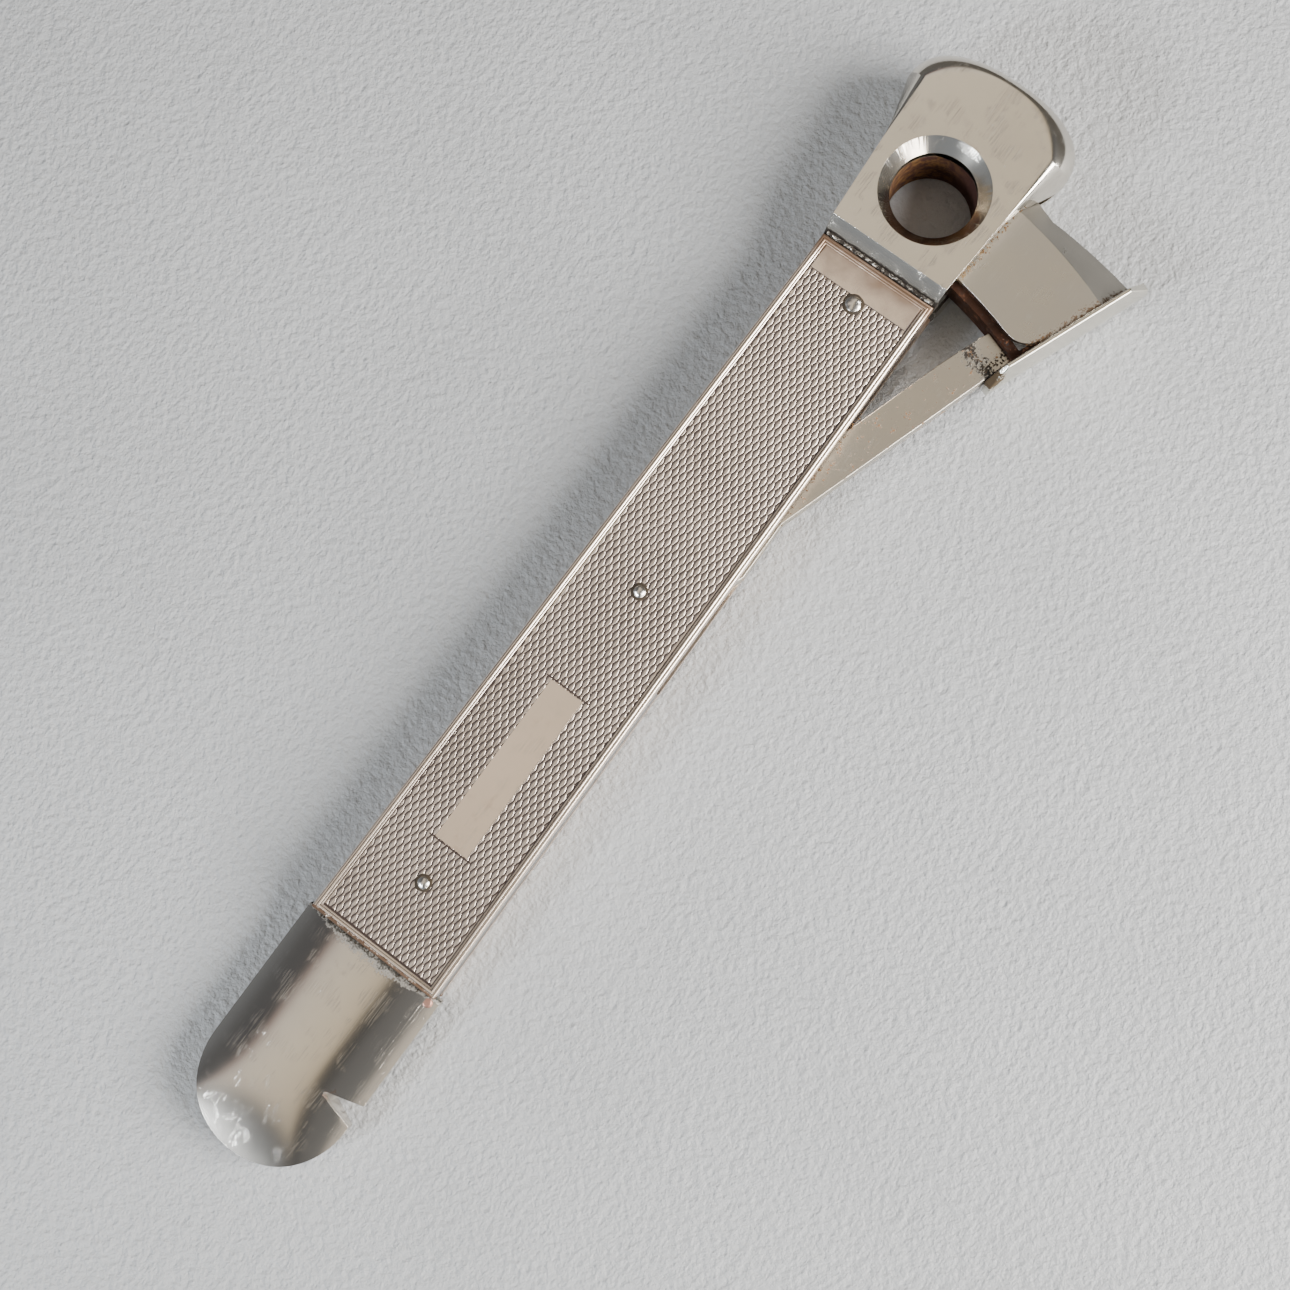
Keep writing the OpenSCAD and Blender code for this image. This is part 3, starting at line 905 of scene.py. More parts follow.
class CUTTER_OT_head(bpy.types.Operator):
    """Build the polished head with its countersunk hole and slots"""

    bl_idname = "cutter.head"
    bl_label = "Build Head"

    def execute(self, context):
        width = context.scene.cutter_head.edge_round / MM
        bm = head_shell()
        cut_shoulders(bm)
        bmesh.ops.recalc_face_normals(bm, faces=bm.faces)
        round_edges(bm, sharp_edges(bm, 24), width, 3)
        working = to_object(bm, "head_working")
        carve(working, head_cutters())
        bm = reopen(working)
        bmesh.ops.remove_doubles(bm, verts=bm.verts, dist=0.002)
        round_edges(bm, sharp_edges(bm, 30, on_countersink_foot), 0.07, 2)
        make_piece(bm, "head", "head", "handle", ["head_block"])
        self.add_bead()
        return {"FINISHED"}

    def add_bead(self):
        """The bright, pitted solder line in the groove on each side."""
        for side, z in (("upper", SCALE_TOP - 0.05), ("lower", 2 * MID_Z - SCALE_TOP + 0.05)):
            bm = bmesh.new()
            turned = Matrix.Rotation(math.radians(90), 4, "X")
            bmesh.ops.create_cone(
                bm, cap_ends=True, segments=10, radius1=BEAD_R, radius2=BEAD_R, depth=BEAD_LENGTH,
                matrix=turned,
            )
            long_edges = [e for e in bm.edges if abs(e.verts[0].co.y - e.verts[1].co.y) > 1]
            bmesh.ops.subdivide_edges(bm, edges=long_edges, cuts=150, use_grid_fill=True)
            for vert in bm.verts:
                swell = noise.noise(Vector((vert.co.x * 3, vert.co.y * 1.7, vert.co.z * 3 + 9)))
                vert.co.x *= 1 + 0.5 * swell
                vert.co.z *= 1 + 0.6 * swell
            bmesh.ops.translate(bm, verts=bm.verts, vec=(SCALE_X + 0.3, 0.0, z))
            stands_for = ["shoulder_beads"] if side == "upper" else ()
            make_piece(bm, side + "_bead", "solder", "handle", stands_for, 60, False)


# ---------------------------------------------------------------- scales

FIELD_HEAD_X = -17.05
FIELD_NOSE_X = -120.85
FIELD_INSET = 1.28
FIELD_Z = SCALE_TOP - 0.08
FIELD_FOOT_Z = SCALE_TOP - 0.45
BAND_HEAD_X = -13.4
# A line's half width, and its wall's width, as shares of the pitch
GROOVE_SHARE = 0.1
GROOVE_WALL = 0.1
COLUMNS_PER_WAVE = 8
CARTOUCHE_X, CARTOUCHE_Y = -93.1, -0.1
CARTOUCHE_SIZE = (25.0, 5.1, 0.5)
CARTOUCHE_ENDS_X = (-105.75, -80.45)


def mirrored_if(bm, lower):
    """Turns a piece of the upper scale into its copy on the underside."""
    if lower:
        bmesh.ops.scale(bm, vec=(1.0, 1.0, -1.0), verts=bm.verts)
        bmesh.ops.translate(bm, verts=bm.verts, vec=(0.0, 0.0, 2 * MID_Z))
        bmesh.ops.recalc_face_normals(bm, faces=bm.faces)


def tapered_box(x0, x1, inset, z0, z1):
    """A box that follows the handle's taper from station x0 to x1."""
    bm = bmesh.new()
    bmesh.ops.create_cube(bm, size=2.0)
    for vert in bm.verts:
        x = x1 if vert.co.x > 0 else x0
        z = z1 if vert.co.z > 0 else z0
        vert.co = Vector((x, math.copysign(half_w(x, inset), vert.co.y), z))
    return bm


# The border's profile from its rounded edge inwards: width, rise and tarnish of each step
BORDER_STEPS = (
    (0.1, 0.0, 0.0), (0.03, -0.07, 1.0), (0.03, 0.0, 1.0), (0.03, 0.07, 0.0), (0.08, 0.05, 0.0),
    (0.14, 0.0, 0.0), (0.08, -0.05, 0.0), (0.03, -0.07, 1.0), (0.04, 0.0, 1.0), (0.03, 0.07, 0.0),
    (0.14, 0.02, 0.0), (0.06, -0.04, 0.2), (0.04, -0.08, 1.0), (0.08, 0.0, 1.0),
)


def scale_tray(lower):
    """The silver tray: turned-down sides and a border of mouldings and engraved lines."""
    bm = tapered_box(NOSE_X, SCALE_X, 0.0, SCALE_TOP - 1.85, SCALE_TOP)
    groove = bm.verts.layers.float.new("groove")
    outer = [e for e in bm.edges if all(v.co.z > SCALE_TOP - 0.1 for v in e.verts)]
    round_edges(bm, outer, 0.32, 4)
    bm.faces.ensure_lookup_table()
    top = max(bm.faces, key=lambda f: f.calc_center_median().z * 100 + f.calc_area())
    low = min(bm.faces, key=lambda f: f.calc_center_median().z)
    for thickness, depth, dark in BORDER_STEPS:
        bmesh.ops.inset_region(bm, faces=[top], thickness=thickness, depth=depth, use_even_offset=True)
        for vert in top.verts:
            vert[groove] = dark
    bmesh.ops.inset_region(bm, faces=[low], thickness=0.5, depth=0.0, use_even_offset=True)
    bmesh.ops.inset_region(bm, faces=[low], thickness=0.0002, depth=-1.13, use_even_offset=True)
    mirrored_if(bm, lower)
    return bm


def field_vertex(u, v, settings, columns_mm):
    """A point of the engine turning and how deep in a line it lies. v counts lines."""
    pitch = settings.line_pitch / MM
    swing = settings.wave_swing / MM
    wave = 2 * math.pi / (settings.wave_length / MM)
    phase = math.cos(math.pi * v)
    x = FIELD_NOSE_X + u * columns_mm
    y = pitch * v + swing * phase * math.sin(wave * x)
    depth = 1.0 if abs(v - round(v)) < GROOVE_SHARE else 0.0
    return x, y, depth


def wavy_grid(settings):
    """A grid with rows at the edges and the floor of every line, each line out of step with the next."""
    length = FIELD_HEAD_X - FIELD_NOSE_X
    columns = int(length / (settings.wave_length / MM) * COLUMNS_PER_WAVE)
    lines = int(half_w(NOSE_X) / (settings.line_pitch / MM)) + 1
    wall = GROOVE_SHARE + GROOVE_WALL
    floor = GROOVE_SHARE * 0.9
    stops = (-0.5, -wall, -floor, floor, wall)
    rows = 2 * lines * len(stops)
    bm = bmesh.new()
    bmesh.ops.create_grid(bm, x_segments=columns, y_segments=rows, size=1.0)
    groove = bm.verts.layers.float.new("groove")
    for vert in bm.verts:
        row = round((vert.co.y + 1) / 2 * rows)
        v = row // len(stops) - lines + stops[row % len(stops)]
        x, y, depth = field_vertex((vert.co.x + 1) / 2, v, settings, length)
        vert.co = Vector((x, y, FIELD_Z - depth * settings.groove_depth / MM))
        vert[groove] = depth
    return bm


def trim_to_taper(bm):
    """Cuts the engine turning off along both long borders."""
    slope = Vector((SCALE_TAPER, 1.0, 0.0)).normalized()
    for side in (1, -1):
        bmesh.ops.bisect_plane(
            bm, geom=list(bm.verts) + list(bm.edges) + list(bm.faces), dist=0.0005,
            plane_co=(SCALE_X, side * half_w(SCALE_X, FIELD_INSET), 0.0),
            plane_no=(slope.x, side * slope.y, 0.0), clear_outer=True,
        )


def engine_field(lower):
    """The closed plate of engine-turned lines."""
    bm = wavy_grid(bpy.context.scene.cutter_scale)
    trim_to_taper(bm)
    rim = [e for e in bm.edges if e.is_boundary]
    skirt = bmesh.ops.extrude_edge_only(bm, edges=rim)["geom"]
    for vert in (g for g in skirt if isinstance(g, bmesh.types.BMVert)):
        vert.co.z = FIELD_FOOT_Z
    bmesh.ops.holes_fill(bm, edges=[g for g in skirt if isinstance(g, bmesh.types.BMEdge)], sides=0)
    mirrored_if(bm, lower)
    return bm


def cartouche_plate(lower):
    """The vacant rectangle, slightly raised, with its rounded edge."""
    bm = bmesh.new()
    bmesh.ops.create_cube(bm, size=1.0)
    bmesh.ops.scale(bm, vec=CARTOUCHE_SIZE, verts=bm.verts)
    bmesh.ops.translate(bm, verts=bm.verts, vec=(CARTOUCHE_X, CARTOUCHE_Y, SCALE_TOP - 0.29))
    edges = [e for e in bm.edges if all(v.co.z > SCALE_TOP - 0.1 for v in e.verts)]
    round_edges(bm, edges, 0.07, 2)
    mirrored_if(bm, lower)
    return bm


def cartouche_lines(lower):
    """The dark engraved stroke across each end of the cartouche, running past its corners."""
    bm = bmesh.new()
    groove = bm.verts.layers.float.new("groove")
    for x in CARTOUCHE_ENDS_X:
        stroke = bmesh.ops.create_cube(bm, size=1.0)["verts"]
        bmesh.ops.scale(bm, vec=(0.2, 6.7, 0.3), verts=stroke)
        bmesh.ops.translate(bm, verts=stroke, vec=(x, CARTOUCHE_Y, SCALE_TOP - 0.2))
    for vert in bm.verts:
        vert[groove] = 1.0
    mirrored_if(bm, lower)
    return bm


def plain_band(lower):
    """The plain band between the engine turning and the head."""
    bm = tapered_box(FIELD_HEAD_X + 0.05, BAND_HEAD_X, FIELD_INSET, SCALE_TOP - 0.4, SCALE_TOP - 0.06)
    groove = bm.verts.layers.float.new("groove")
    top = max(bm.faces, key=lambda f: f.calc_center_median().z)
    for vert in top.verts:
        vert[groove] = 0.85
    bmesh.ops.inset_region(bm, faces=[top], thickness=0.12, depth=0.06, use_even_offset=True)
    for vert in top.verts:
        vert[groove] = 0.0
    bmesh.ops.inset_region(bm, faces=[top], thickness=0.1, depth=0.0, use_even_offset=True)
    mirrored_if(bm, lower)
    return bm


class CUTTER_OT_scales(bpy.types.Operator):
    """Build both engine-turned silver scales"""

    bl_idname = "cutter.scales"
    bl_label = "Build Scales"

    def execute(self, context):
        for lower, side in ((False, "upper"), (True, "lower")):
            make_piece(
                scale_tray(lower), side + "_scale_border", "border", "handle",
                [side + "_scale"], 24,
            )
            make_piece(
                engine_field(lower), side + "_scale_turning", "field", "handle",
                (), 60, False,
            )
            make_piece(plain_band(lower), side + "_scale_band", "border", "handle")
            make_piece(
                cartouche_plate(lower), side + "_scale_cartouche", "cartouche", "handle"
            )
            make_piece(
                cartouche_lines(lower), side + "_cartouche_lines", "field", "handle"
            )
        return {"FINISHED"}


# ---------------------------------------------------------------- pins and the core of the handle

# Each pin's dome: radius and rise above the scale
PIN_DOMES = (("head_pin", 1.12, 0.3), ("pivot_pin", 0.86, 0.34), ("nose_pin", 0.84, 0.32))
PIN_SHANK_R = 0.9
GRIME_RING_R = 0.7


class CUTTER_OT_pins(bpy.types.Operator):
    """Build the three through pins with their worn domes and dark rings"""

    bl_idname = "cutter.pins"
    bl_label = "Build Pins"

    def execute(self, context):
        for node, radius, rise in PIN_DOMES:
            self.add_pin(node, radius, rise)
        return {"FINISHED"}

    def add_pin(self, node, radius, rise):
        station = PIN_STATIONS[node]
        low = 2 * MID_Z - SCALE_TOP
        outline = [(0.0, low - rise), (radius * 0.6, low - rise * 0.75), (radius, low)]
        outline += [(radius, low + 0.3), (PIN_SHANK_R, low + 0.4)]
        outline += [(PIN_SHANK_R, SCALE_TOP - 0.4), (radius, SCALE_TOP - 0.3)]
        outline += [(radius, SCALE_TOP), (radius * 0.6, SCALE_TOP + rise * 0.75), (0.0, SCALE_TOP + rise)]
        bm = lathe(outline, 0, 360, 32, (station, 0.0))
        round_edges(bm, sharp_edges(bm, 30), 0.08, 3)
        for vert in bm.verts:
            dent = noise.noise(Vector((vert.co.x * 1.3, vert.co.y * 1.3, vert.co.z * 0.9)))
            vert.co.z += 0.12 * dent * (1 if abs(vert.co.z - MID_Z) > 3.2 else 0)
        make_piece(bm, node + "_worn", "pin", "handle", [node], 60, False)
        for name, z in (("upper", SCALE_TOP - 0.08), ("lower", low + 0.08)):
            section = [(GRIME_RING_R, z - 0.1), (radius + 0.42, z - 0.1)]
            section += [(radius + 0.22, z + 0.1), (GRIME_RING_R, z + 0.1)]
            ring = lathe(section, 0, 360, 24, (station, 0.0))
            for vert in ring.verts:
                vert.co.x += 0.12 * noise.noise(vert.co * 1.7)
                vert.co.y += 0.12 * noise.noise(vert.co * 1.9)
            make_piece(ring, "%s_%s_grime" % (node, name), "grime", "handle", (), 60, False)


class CUTTER_OT_core(bpy.types.Operator):
    """Finish the liners, the spacers, the rivets and the spring between the scales"""

    bl_idname = "cutter.core"
    bl_label = "Finish Handle Core"

    def execute(self, context):
        for node in ("upper_liner", "lower_liner", "back_spacer", "front_spacer"):
            softened_node(node, node + "_edge", "liner", "handle", 0.06, 2)
        for node in ("liner_rivets", "open_stop_pin", "spring_rivets", "pivot_washers"):
            paint_node(node, "liner")
        paint_node("pivot_bush", "bronze")
        bm = node_copy("leaf_spring")
        ends = [e for e in bm.edges if abs(e.verts[0].co.x - e.verts[1].co.x) > 2]
        bmesh.ops.subdivide_edges(bm, edges=ends, cuts=12, use_grid_fill=True)
        leaf = make_piece(bm, "leaf_spring_flexing", "spring", None, ["leaf_spring"])
        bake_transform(leaf)
        return {"FINISHED"}


# ---------------------------------------------------------------- nose

NOSE_CROWN = 3.3
NOSE_EDGE = 0.95
NOSE_CENTRE_X = NOSE_LOW.x + NOSE_HALF_W
TIP_BEND_X = NOSE_X - 15.0
TIP_R = 57.0
NOSE_SOFTNESS = 0.55
NOSE_LIFT = 0.2
STRAIGHT_SHARE = 0.4


def nose_height(x, y):
    """Height of the nose's surface above its middle plane, crown and tip blended softly."""
    fall = NOSE_CROWN - NOSE_EDGE
    crown_r = (NOSE_HALF_W ** 2 + fall ** 2) / (2 * fall)
    crown = NOSE_CROWN - crown_r + math.sqrt(crown_r ** 2 - y * y)
    beyond = max(0.0, TIP_BEND_X - x)
    tip = NOSE_CROWN - TIP_R + math.sqrt(TIP_R ** 2 - beyond ** 2)
    low = min(crown, tip)
    spread = math.exp((low - crown) / NOSE_SOFTNESS) + math.exp((low - tip) / NOSE_SOFTNESS)
    return max(low - NOSE_SOFTNESS * math.log(spread) + NOSE_LIFT, NOSE_EDGE * 0.8)


def nose_form():
    """The domed nose: a grid wrapped onto its plan, mirrored about its middle plane."""
    bm = bmesh.new()
    bmesh.ops.create_grid(bm, x_segments=72, y_segments=44, size=1.0)
    straight = NOSE_X - NOSE_CENTRE_X - 0.03
    for vert in bm.verts:
        u = (1 - vert.co.x) / 2
        if u < STRAIGHT_SHARE:
            x = NOSE_X - 0.03 - u / STRAIGHT_SHARE * straight
            half = NOSE_HALF_W
        else:
            turn = (u - STRAIGHT_SHARE) / (1 - STRAIGHT_SHARE) * math.pi / 2
            x = NOSE_CENTRE_X - NOSE_HALF_W * math.sin(turn)
            half = NOSE_HALF_W * math.cos(turn)
        y = half * math.sin(vert.co.y * math.pi / 2)
        vert.co = Vector((x, y, nose_height(x, y)))
    bmesh.ops.remove_doubles(bm, verts=bm.verts, dist=0.01)
    rim = [e for e in bm.edges if e.is_boundary]
    skirt = bmesh.ops.extrude_edge_only(bm, edges=rim)["geom"]
    for vert in (g for g in skirt if isinstance(g, bmesh.types.BMVert)):
        vert.co.z = 0.0
    geom = list(bm.verts) + list(bm.edges) + list(bm.faces)
    bmesh.ops.mirror(bm, geom=geom, merge_dist=0.001, axis="Z")
    bmesh.ops.translate(bm, verts=bm.verts, vec=(0.0, 0.0, MID_Z))
    bmesh.ops.recalc_face_normals(bm, faces=bm.faces)
    return bm


def notch_cutter():
    """The V of the nail puller, as a tall solid."""
    bm = bmesh.new()
    mouth = -NOSE_HALF_W - 1.0
    apex = -NOSE_HALF_W + 5.1
    corners = [
        (NOSE_X - 16.1, mouth), (NOSE_X - 16.45, -NOSE_HALF_W + 0.2), (NOSE_X - 17.45, apex - 0.35),
        (NOSE_X - 17.7, apex), (NOSE_X - 18.05, apex - 0.25), (NOSE_X - 19.5, -NOSE_HALF_W + 0.3),
        (NOSE_X - 20.1, mouth),
    ]
    face = bm.faces.new([bm.verts.new((x, y, -1.0)) for x, y in corners])
    raised = bmesh.ops.extrude_face_region(bm, geom=[face])["geom"]
    tops = [g for g in raised if isinstance(g, bmesh.types.BMVert)]
    bmesh.ops.translate(bm, verts=tops, vec=(0.0, 0.0, 14.0))
    bmesh.ops.recalc_face_normals(bm, faces=bm.faces)
    return bm


def on_notch(edge):
    """Whether an edge lies on the notch's lips."""
    deepest = -NOSE_HALF_W + 5.6
    return all(NOSE_X - 20.6 < v.co.x < NOSE_X - 15.6 and v.co.y < deepest for v in edge.verts)


def off_joint(edge):
    """Whether an edge lies wholly on one side of the plane just short of the joint with the scale."""
    ahead = [vert.co.x < NOSE_X - 0.2 for vert in edge.verts]
    return all(ahead) or not any(ahead)


class CUTTER_OT_nose(bpy.types.Operator):
    """Build the domed box-opener nose with its nail-puller notch"""

    bl_idname = "cutter.nose"
    bl_label = "Build Nose"

    def execute(self, context):
        bm = nose_form()
        round_edges(bm, sharp_edges(bm, 30, off_joint), context.scene.cutter_head.rim_round / MM, 4)
        working = to_object(bm, "nose_working")
        carve(working, [notch_cutter()])
        bm = reopen(working)
        bmesh.ops.remove_doubles(bm, verts=bm.verts, dist=0.002)
        round_edges(bm, sharp_edges(bm, 38, on_notch), 0.22, 3)
        make_piece(bm, "nose", "nose", "handle", ["nose_opener"], 50, False)
        softened_node("nose_braze_spot", "nose_braze", "braze", "handle", 0.15, 3)
        return {"FINISHED"}


# ---------------------------------------------------------------- lever and blade


class CUTTER_OT_lever(bpy.types.Operator):
    """Build the lever arm, the blade's carrier and the thumb plate"""

    bl_idname = "cutter.lever"
    bl_label = "Build Lever"

    def execute(self, context):
        width = context.scene.cutter_lever.edge_round / MM
        softened_node("lever_arm", "lever_arm_worn", "arm", "lever", width, 3)
        softened_node("blade_carrier", "carrier_rusted", "carrier", "lever", width * 0.6, 2)
        softened_node(
            "thumb_plate", "thumb_plate_worn", "thumb_plate", "lever", width * 1.2, 3, 12
        )
        return {"FINISHED"}


class CUTTER_OT_blade(bpy.types.Operator):
    """Build the folded blade"""

    bl_idname = "cutter.blade"
    bl_label = "Build Blade"

    def execute(self, context):
        width = context.scene.cutter_lever.edge_round / MM
        softened_node("cutting_blade", "blade", "blade", "lever", width * 0.5, 2, 20)
        return {"FINISHED"}


# ---------------------------------------------------------------- crumbs of grime


def lane_along(start, end, spread):
    """A function that draws a random place near a line."""
    first, last = Vector(start), Vector(end)

    def place(rng):
        share = rng.random()
        point = first.lerp(last, share)
        return point + Vector([rng.gauss(0.0, s) for s in spread])

    return place


def crumb_lanes():
    """Where crumbs gather: [name, finish, slot, body, share, size, place]."""
    slit = lane_along((-6.4, -9.5, BLADE_TOP), (5.6, -10.3, BLADE_TOP), (0.3, 0.22, 0.02))
    plate = lane_along(
        about_pivot(59, OPEN_ANGLE + 0.5, BLADE_TOP), about_pivot(70, OPEN_ANGLE + 0.5, BLADE_TOP),
        (0.4, 0.3, 0.02),
    )
    corner = lane_along(
        about_pivot(53.5, OPEN_ANGLE + 0.9, ARM_TOP), about_pivot(57.5, OPEN_ANGLE + 1.2, ARM_TOP),
        (0.5, 0.5, 0.05),
    )
    arm = lane_along(
        (-48.0, -half_w(-48.0) - 0.15, ARM_TOP), (-26.0, -half_w(-26.0) - 0.25, ARM_TOP),
        (0.3, 0.12, 0.03),
    )
    joint = lane_along((NOSE_X - 0.25, 9.2, 0.0), (NOSE_X - 0.25, -9.2, 0.0), (0.14, 0.3, 0.0))
    shoulder = lane_along((SCALE_X + 0.2, 8.4, SCALE_TOP - 0.1), (SCALE_X + 0.2, -8.4, SCALE_TOP - 0.1),
                          (0.1, 0.2, 0.05))
    return [
        ("slit_crumbs", "golden_rust", "rusty_steel", "lever", 0.2, 0.13, slit),
        ("plate_crumbs", "golden_rust", "rusty_steel", "lever", 0.1, 0.11, plate),
        ("corner_crumbs", "grime", "rusty_steel", "lever", 0.2, 0.16, corner),
        ("arm_crumbs", "golden_rust", "rusty_steel", "handle", 0.14, 0.12, arm),
        ("joint_crumbs", "grime", "rusty_steel", "handle", 0.24, 0.13, joint),
        ("shoulder_crumbs", "grime", "rusty_steel", "handle", 0.12, 0.1, shoulder),
    ]


def add_crumb(bm, spot, size, rng):
    """One flattened, turned crumb."""
    stretch = Vector((rng.uniform(0.6, 1.5), rng.uniform(0.6, 1.5), rng.uniform(0.35, 0.8)))
    shape = Matrix.LocRotScale(spot, None, stretch) @ Matrix.Rotation(rng.uniform(0, 6), 4, "Z")
    radius = size * rng.uniform(0.35, 1.1)
    bmesh.ops.create_icosphere(bm, subdivisions=1, radius=radius, matrix=shape)


class CUTTER_OT_grime(bpy.types.Operator):
    """Gather crumbs of grime and rust along the joints"""

    bl_idname = "cutter.grime"
    bl_label = "Gather Grime"

    def execute(self, context):
        total = context.scene.cutter_lever.crumb_count
        for name, finish, slot, body, share, size, place in crumb_lanes():
            rng = random.Random(name)
            bm = bmesh.new()
            for _ in range(int(total * share)):
                spot = place(rng)
                if name == "joint_crumbs":
                    spot.z = MID_Z + nose_height(spot.x, spot.y)
                add_crumb(bm, spot, size, rng)
            make_piece(bm, name, finish, body, (), 70, False)
        return {"FINISHED"}


# ---------------------------------------------------------------- stage

CAMERA_PLACE = (-0.0818, -0.03355, 0.2384)
CAMERA_TURN = (6.622, 4.012, -53.409)
FLOOR_TILT = 0.97


def floor_finish(colour):
    """A pale board with a fine, pebbled surface."""
    material = bpy.data.materials.new("Pebbled Board")
    material.use_nodes = True
    w = Wiring(material.node_tree)
    shader = material.node_tree.nodes["Principled BSDF"]
    place = w.millimetres()
    fine = w.noise(place, 0.95, 2.5, 0.5)
    small = w.noise(place, 2.4, 2.0, 0.5)
    height = w.maths("ADD", fine, w.maths("MULTIPLY", small, 0.35))
    stains = w.ramp(w.noise(place, 0.02, 3.0), 0.35, 0.7)
    base = w.blend(stains, colour, [c * 0.92 for c in colour])
    specks_mask = w.ramp(w.noise(place, 0.6, 4.0, 0.7), 0.73, 0.78)
    base = w.blend(w.maths("MULTIPLY", specks_mask, 0.35), base, (0.25, 0.2, 0.15))
    w.feed(shader.inputs["Base Color"], base)
    shader.inputs["Roughness"].default_value = 0.55
    bump = w.add("ShaderNodeBump", {"Height": height, "Strength": 1.0, "Distance": 0.4 * MM})
    w.feed(shader.inputs["Normal"], bump.outputs[0])
    return material


def add_floor(colour):
    bm = bmesh.new()
    bmesh.ops.create_grid(bm, x_segments=1, y_segments=1, size=1500.0)
    tilt = Matrix.Rotation(math.radians(FLOOR_TILT), 4, "Y")
    bmesh.ops.rotate(bm, verts=bm.verts, cent=(0.0, 0.0, 0.0), matrix=tilt)
    bmesh.ops.translate(bm, verts=bm.verts, vec=(-10.0, 0.0, -0.02))
    floor = to_object(bm, "floor")
    floor.data.materials.append(floor_finish(colour))


def add_softbox(name, place, aim, size, power, colour=(1.0, 1.0, 1.0)):
    """A rectangular softbox that faces a point."""
    light = bpy.data.lights.new(name, "AREA")
    light.shape = "RECTANGLE"
    light.size, light.size_y = size
    light.energy = power
    light.color = colour
    lamp = bpy.data.objects.new(name, light)
    lamp.location = place
    lamp.rotation_euler = (Vector(aim) - Vector(place)).to_track_quat("-Z", "Y").to_euler()
    bpy.context.scene.collection.objects.link(lamp)


def ramp_of(w, value, stops):
    """A colour ramp with [position, colour] stops."""
    node = w.add("ShaderNodeValToRGB", {"Fac": value})
    elements = node.color_ramp.elements
    elements[0].position, elements[0].color = stops[0][0], (*stops[0][1], 1)
    elements[1].position, elements[1].color = stops[-1][0], (*stops[-1][1], 1)
    for position, tone in stops[1:-1]:
        elements.new(position).color = (*tone, 1)
    return node.outputs[0]


def add_sky():
    """Soft room light: bands across the ceiling, bluish grey towards the horizon."""
    world = bpy.data.worlds.new("Soft Room")
    bpy.context.scene.world = world
    world.use_nodes = True
    w = Wiring(world.node_tree)
    back = world.node_tree.nodes["Background"]
    axes = w.axes(w.add("ShaderNodeTexCoord").outputs["Generated"])
    across = w.ramp_linear(axes["Y"], -1.0, 1.0)
    ceiling = ramp_of(w, across, [
        (0.1, (0.95, 0.88, 0.78)), (0.19, (0.8, 0.74, 0.66)), (0.225, (0.2, 0.205, 0.21)),
        (0.36, (0.17, 0.17, 0.175)), (0.42, (0.09, 0.092, 0.095)), (0.465, (0.13, 0.12, 0.11)),
        (0.485, (0.9, 0.77, 0.58)), (0.6, (1.0, 0.9, 0.76)), (0.68, (0.92, 0.86, 0.78)),
        (0.715, (0.4, 0.3, 0.29)), (0.74, (0.09, 0.092, 0.1)), (1.0, (0.14, 0.145, 0.155)),
    ])
    low = ramp_of(w, w.ramp_linear(axes["X"], -1.0, 1.0), [
        (0.0, (0.3, 0.33, 0.37)), (0.5, (0.19, 0.2, 0.215)), (1.0, (0.13, 0.12, 0.105)),
    ])
    ceiling = w.blend(w.ramp(axes["X"], -0.56, -0.4), (0.12, 0.125, 0.135), ceiling)
    rise = w.ramp(axes["Z"], 0.45, 0.7)
    w.feed(back.inputs["Color"], w.blend(rise, low, ceiling))
    back.inputs["Strength"].default_value = 0.95


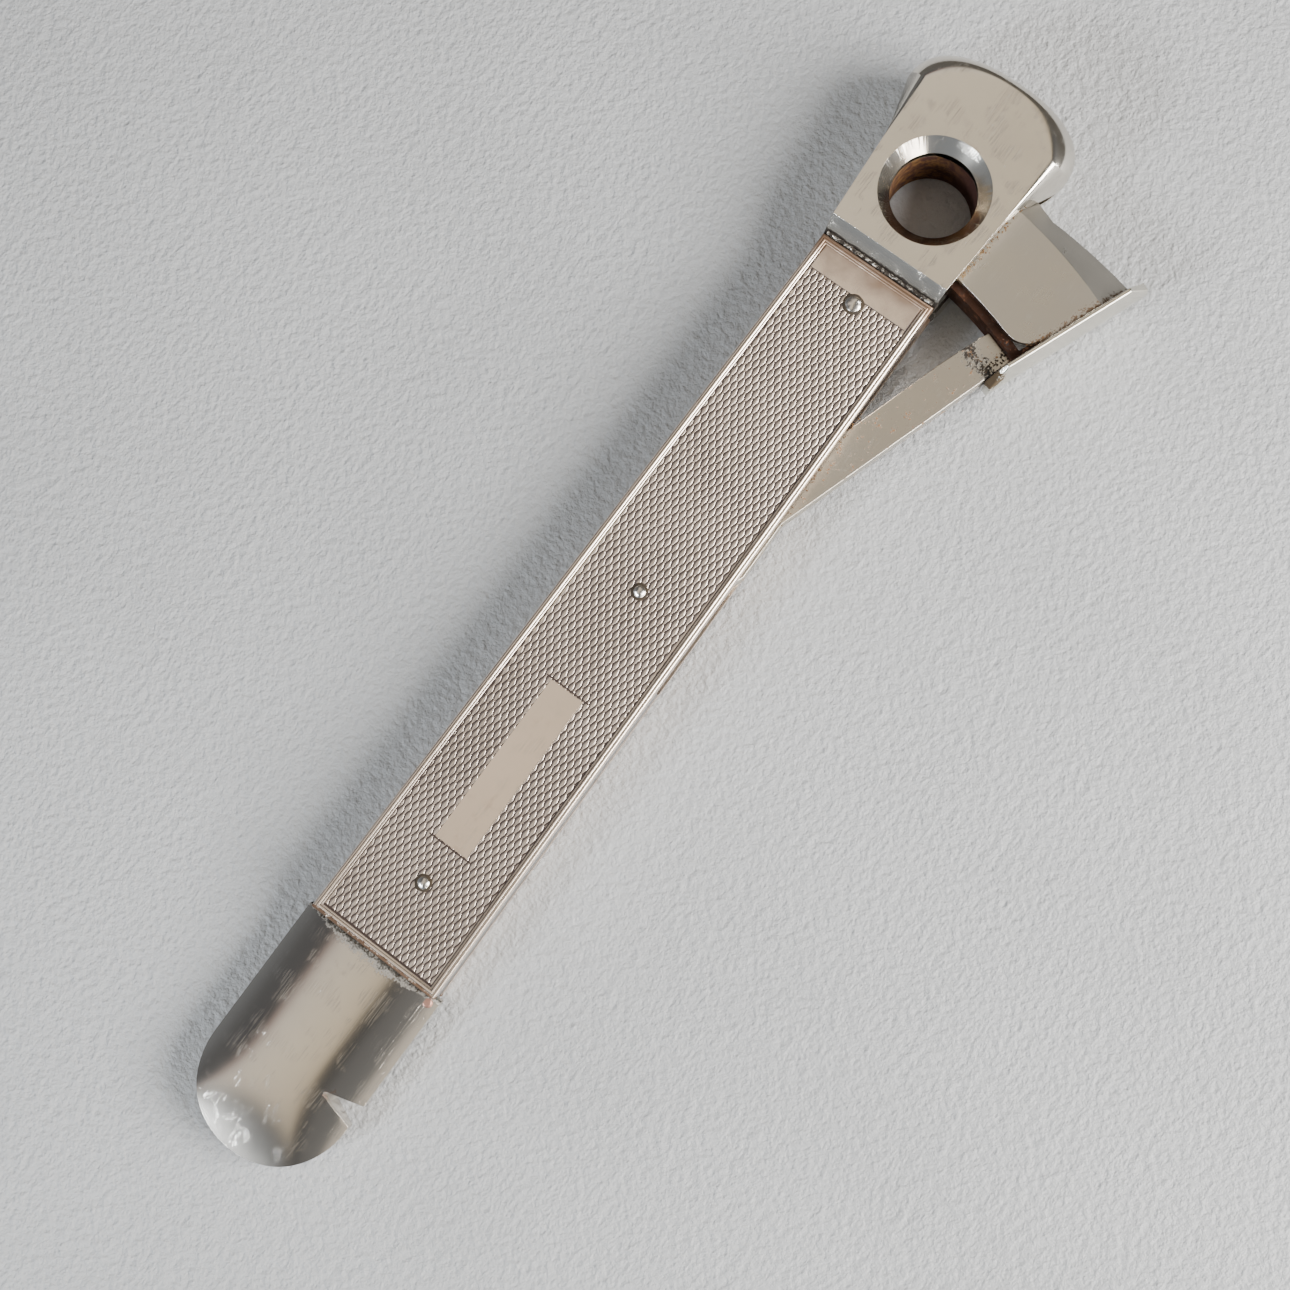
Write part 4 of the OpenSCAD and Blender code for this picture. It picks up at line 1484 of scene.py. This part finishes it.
class CUTTER_OT_stage(bpy.types.Operator):
    """Lay the floor and set the lights and the camera"""

    bl_idname = "cutter.stage"
    bl_label = "Set Stage"

    def execute(self, context):
        settings = context.scene.cutter_stage
        add_floor(tuple(settings.floor_colour))
        add_sky()
        middle = (-0.065, 0.0, 0.005)
        power = settings.key_power
        add_softbox("key_light", (0.14, -0.54, 0.37), middle, (0.5, 0.36), power, (1.0, 0.98, 0.95))
        add_softbox("tip_light", (-0.56, 0.2, 0.33), middle, (0.13, 0.1), power * 0.24, (0.86, 0.93, 1.0))
        add_softbox("rim_light", (-0.2, -0.6, 0.16), middle, (0.4, 0.07), power * 0.12, (1.0, 0.93, 0.84))
        camera = bpy.data.objects.new("camera", bpy.data.cameras.new("camera"))
        camera.data.lens = settings.lens
        camera.data.sensor_width = 36.0
        camera.data.clip_start = 0.01
        camera.location = CAMERA_PLACE
        camera.rotation_euler = [math.radians(a) for a in CAMERA_TURN]
        context.scene.collection.objects.link(camera)
        context.scene.camera = camera
        return {"FINISHED"}


# ---------------------------------------------------------------- panel and main


class CUTTER_PT_panel(bpy.types.Panel):
    """The cutter's settings and the steps that build it"""

    bl_label = "Cigar Cutter"
    bl_idname = "CUTTER_PT_panel"
    bl_space_type = "VIEW_3D"
    bl_region_type = "UI"
    bl_category = "Cutter"

    def draw(self, context):
        for group in ("cutter_head", "cutter_scale", "cutter_lever", "cutter_stage"):
            settings = getattr(context.scene, group)
            box = self.layout.box()
            for name in settings.__annotations__:
                box.prop(settings, name)
        for operator in STEPS:
            self.layout.operator(operator.bl_idname)


STEPS = (
    CUTTER_OT_stage,
    CUTTER_OT_head,
    CUTTER_OT_scales,
    CUTTER_OT_pins,
    CUTTER_OT_core,
    CUTTER_OT_nose,
    CUTTER_OT_lever,
    CUTTER_OT_blade,
    CUTTER_OT_grime,
)
SETTINGS = {
    "cutter_head": CutterHeadSettings,
    "cutter_scale": CutterScaleSettings,
    "cutter_lever": CutterLeverSettings,
    "cutter_stage": CutterStageSettings,
}


def register():
    for kind in (*SETTINGS.values(), *STEPS, CUTTER_PT_panel):
        bpy.utils.register_class(kind)
    for name, kind in SETTINGS.items():
        setattr(bpy.types.Scene, name, PointerProperty(type=kind))


def unregister():
    for name in SETTINGS:
        delattr(bpy.types.Scene, name)
    for kind in reversed((*SETTINGS.values(), *STEPS, CUTTER_PT_panel)):
        bpy.utils.unregister_class(kind)


def main():
    register()
    for step in STEPS:
        getattr(bpy.ops.cutter, step.bl_idname.split(".")[1])()


if __name__ == "__main__":
    main()
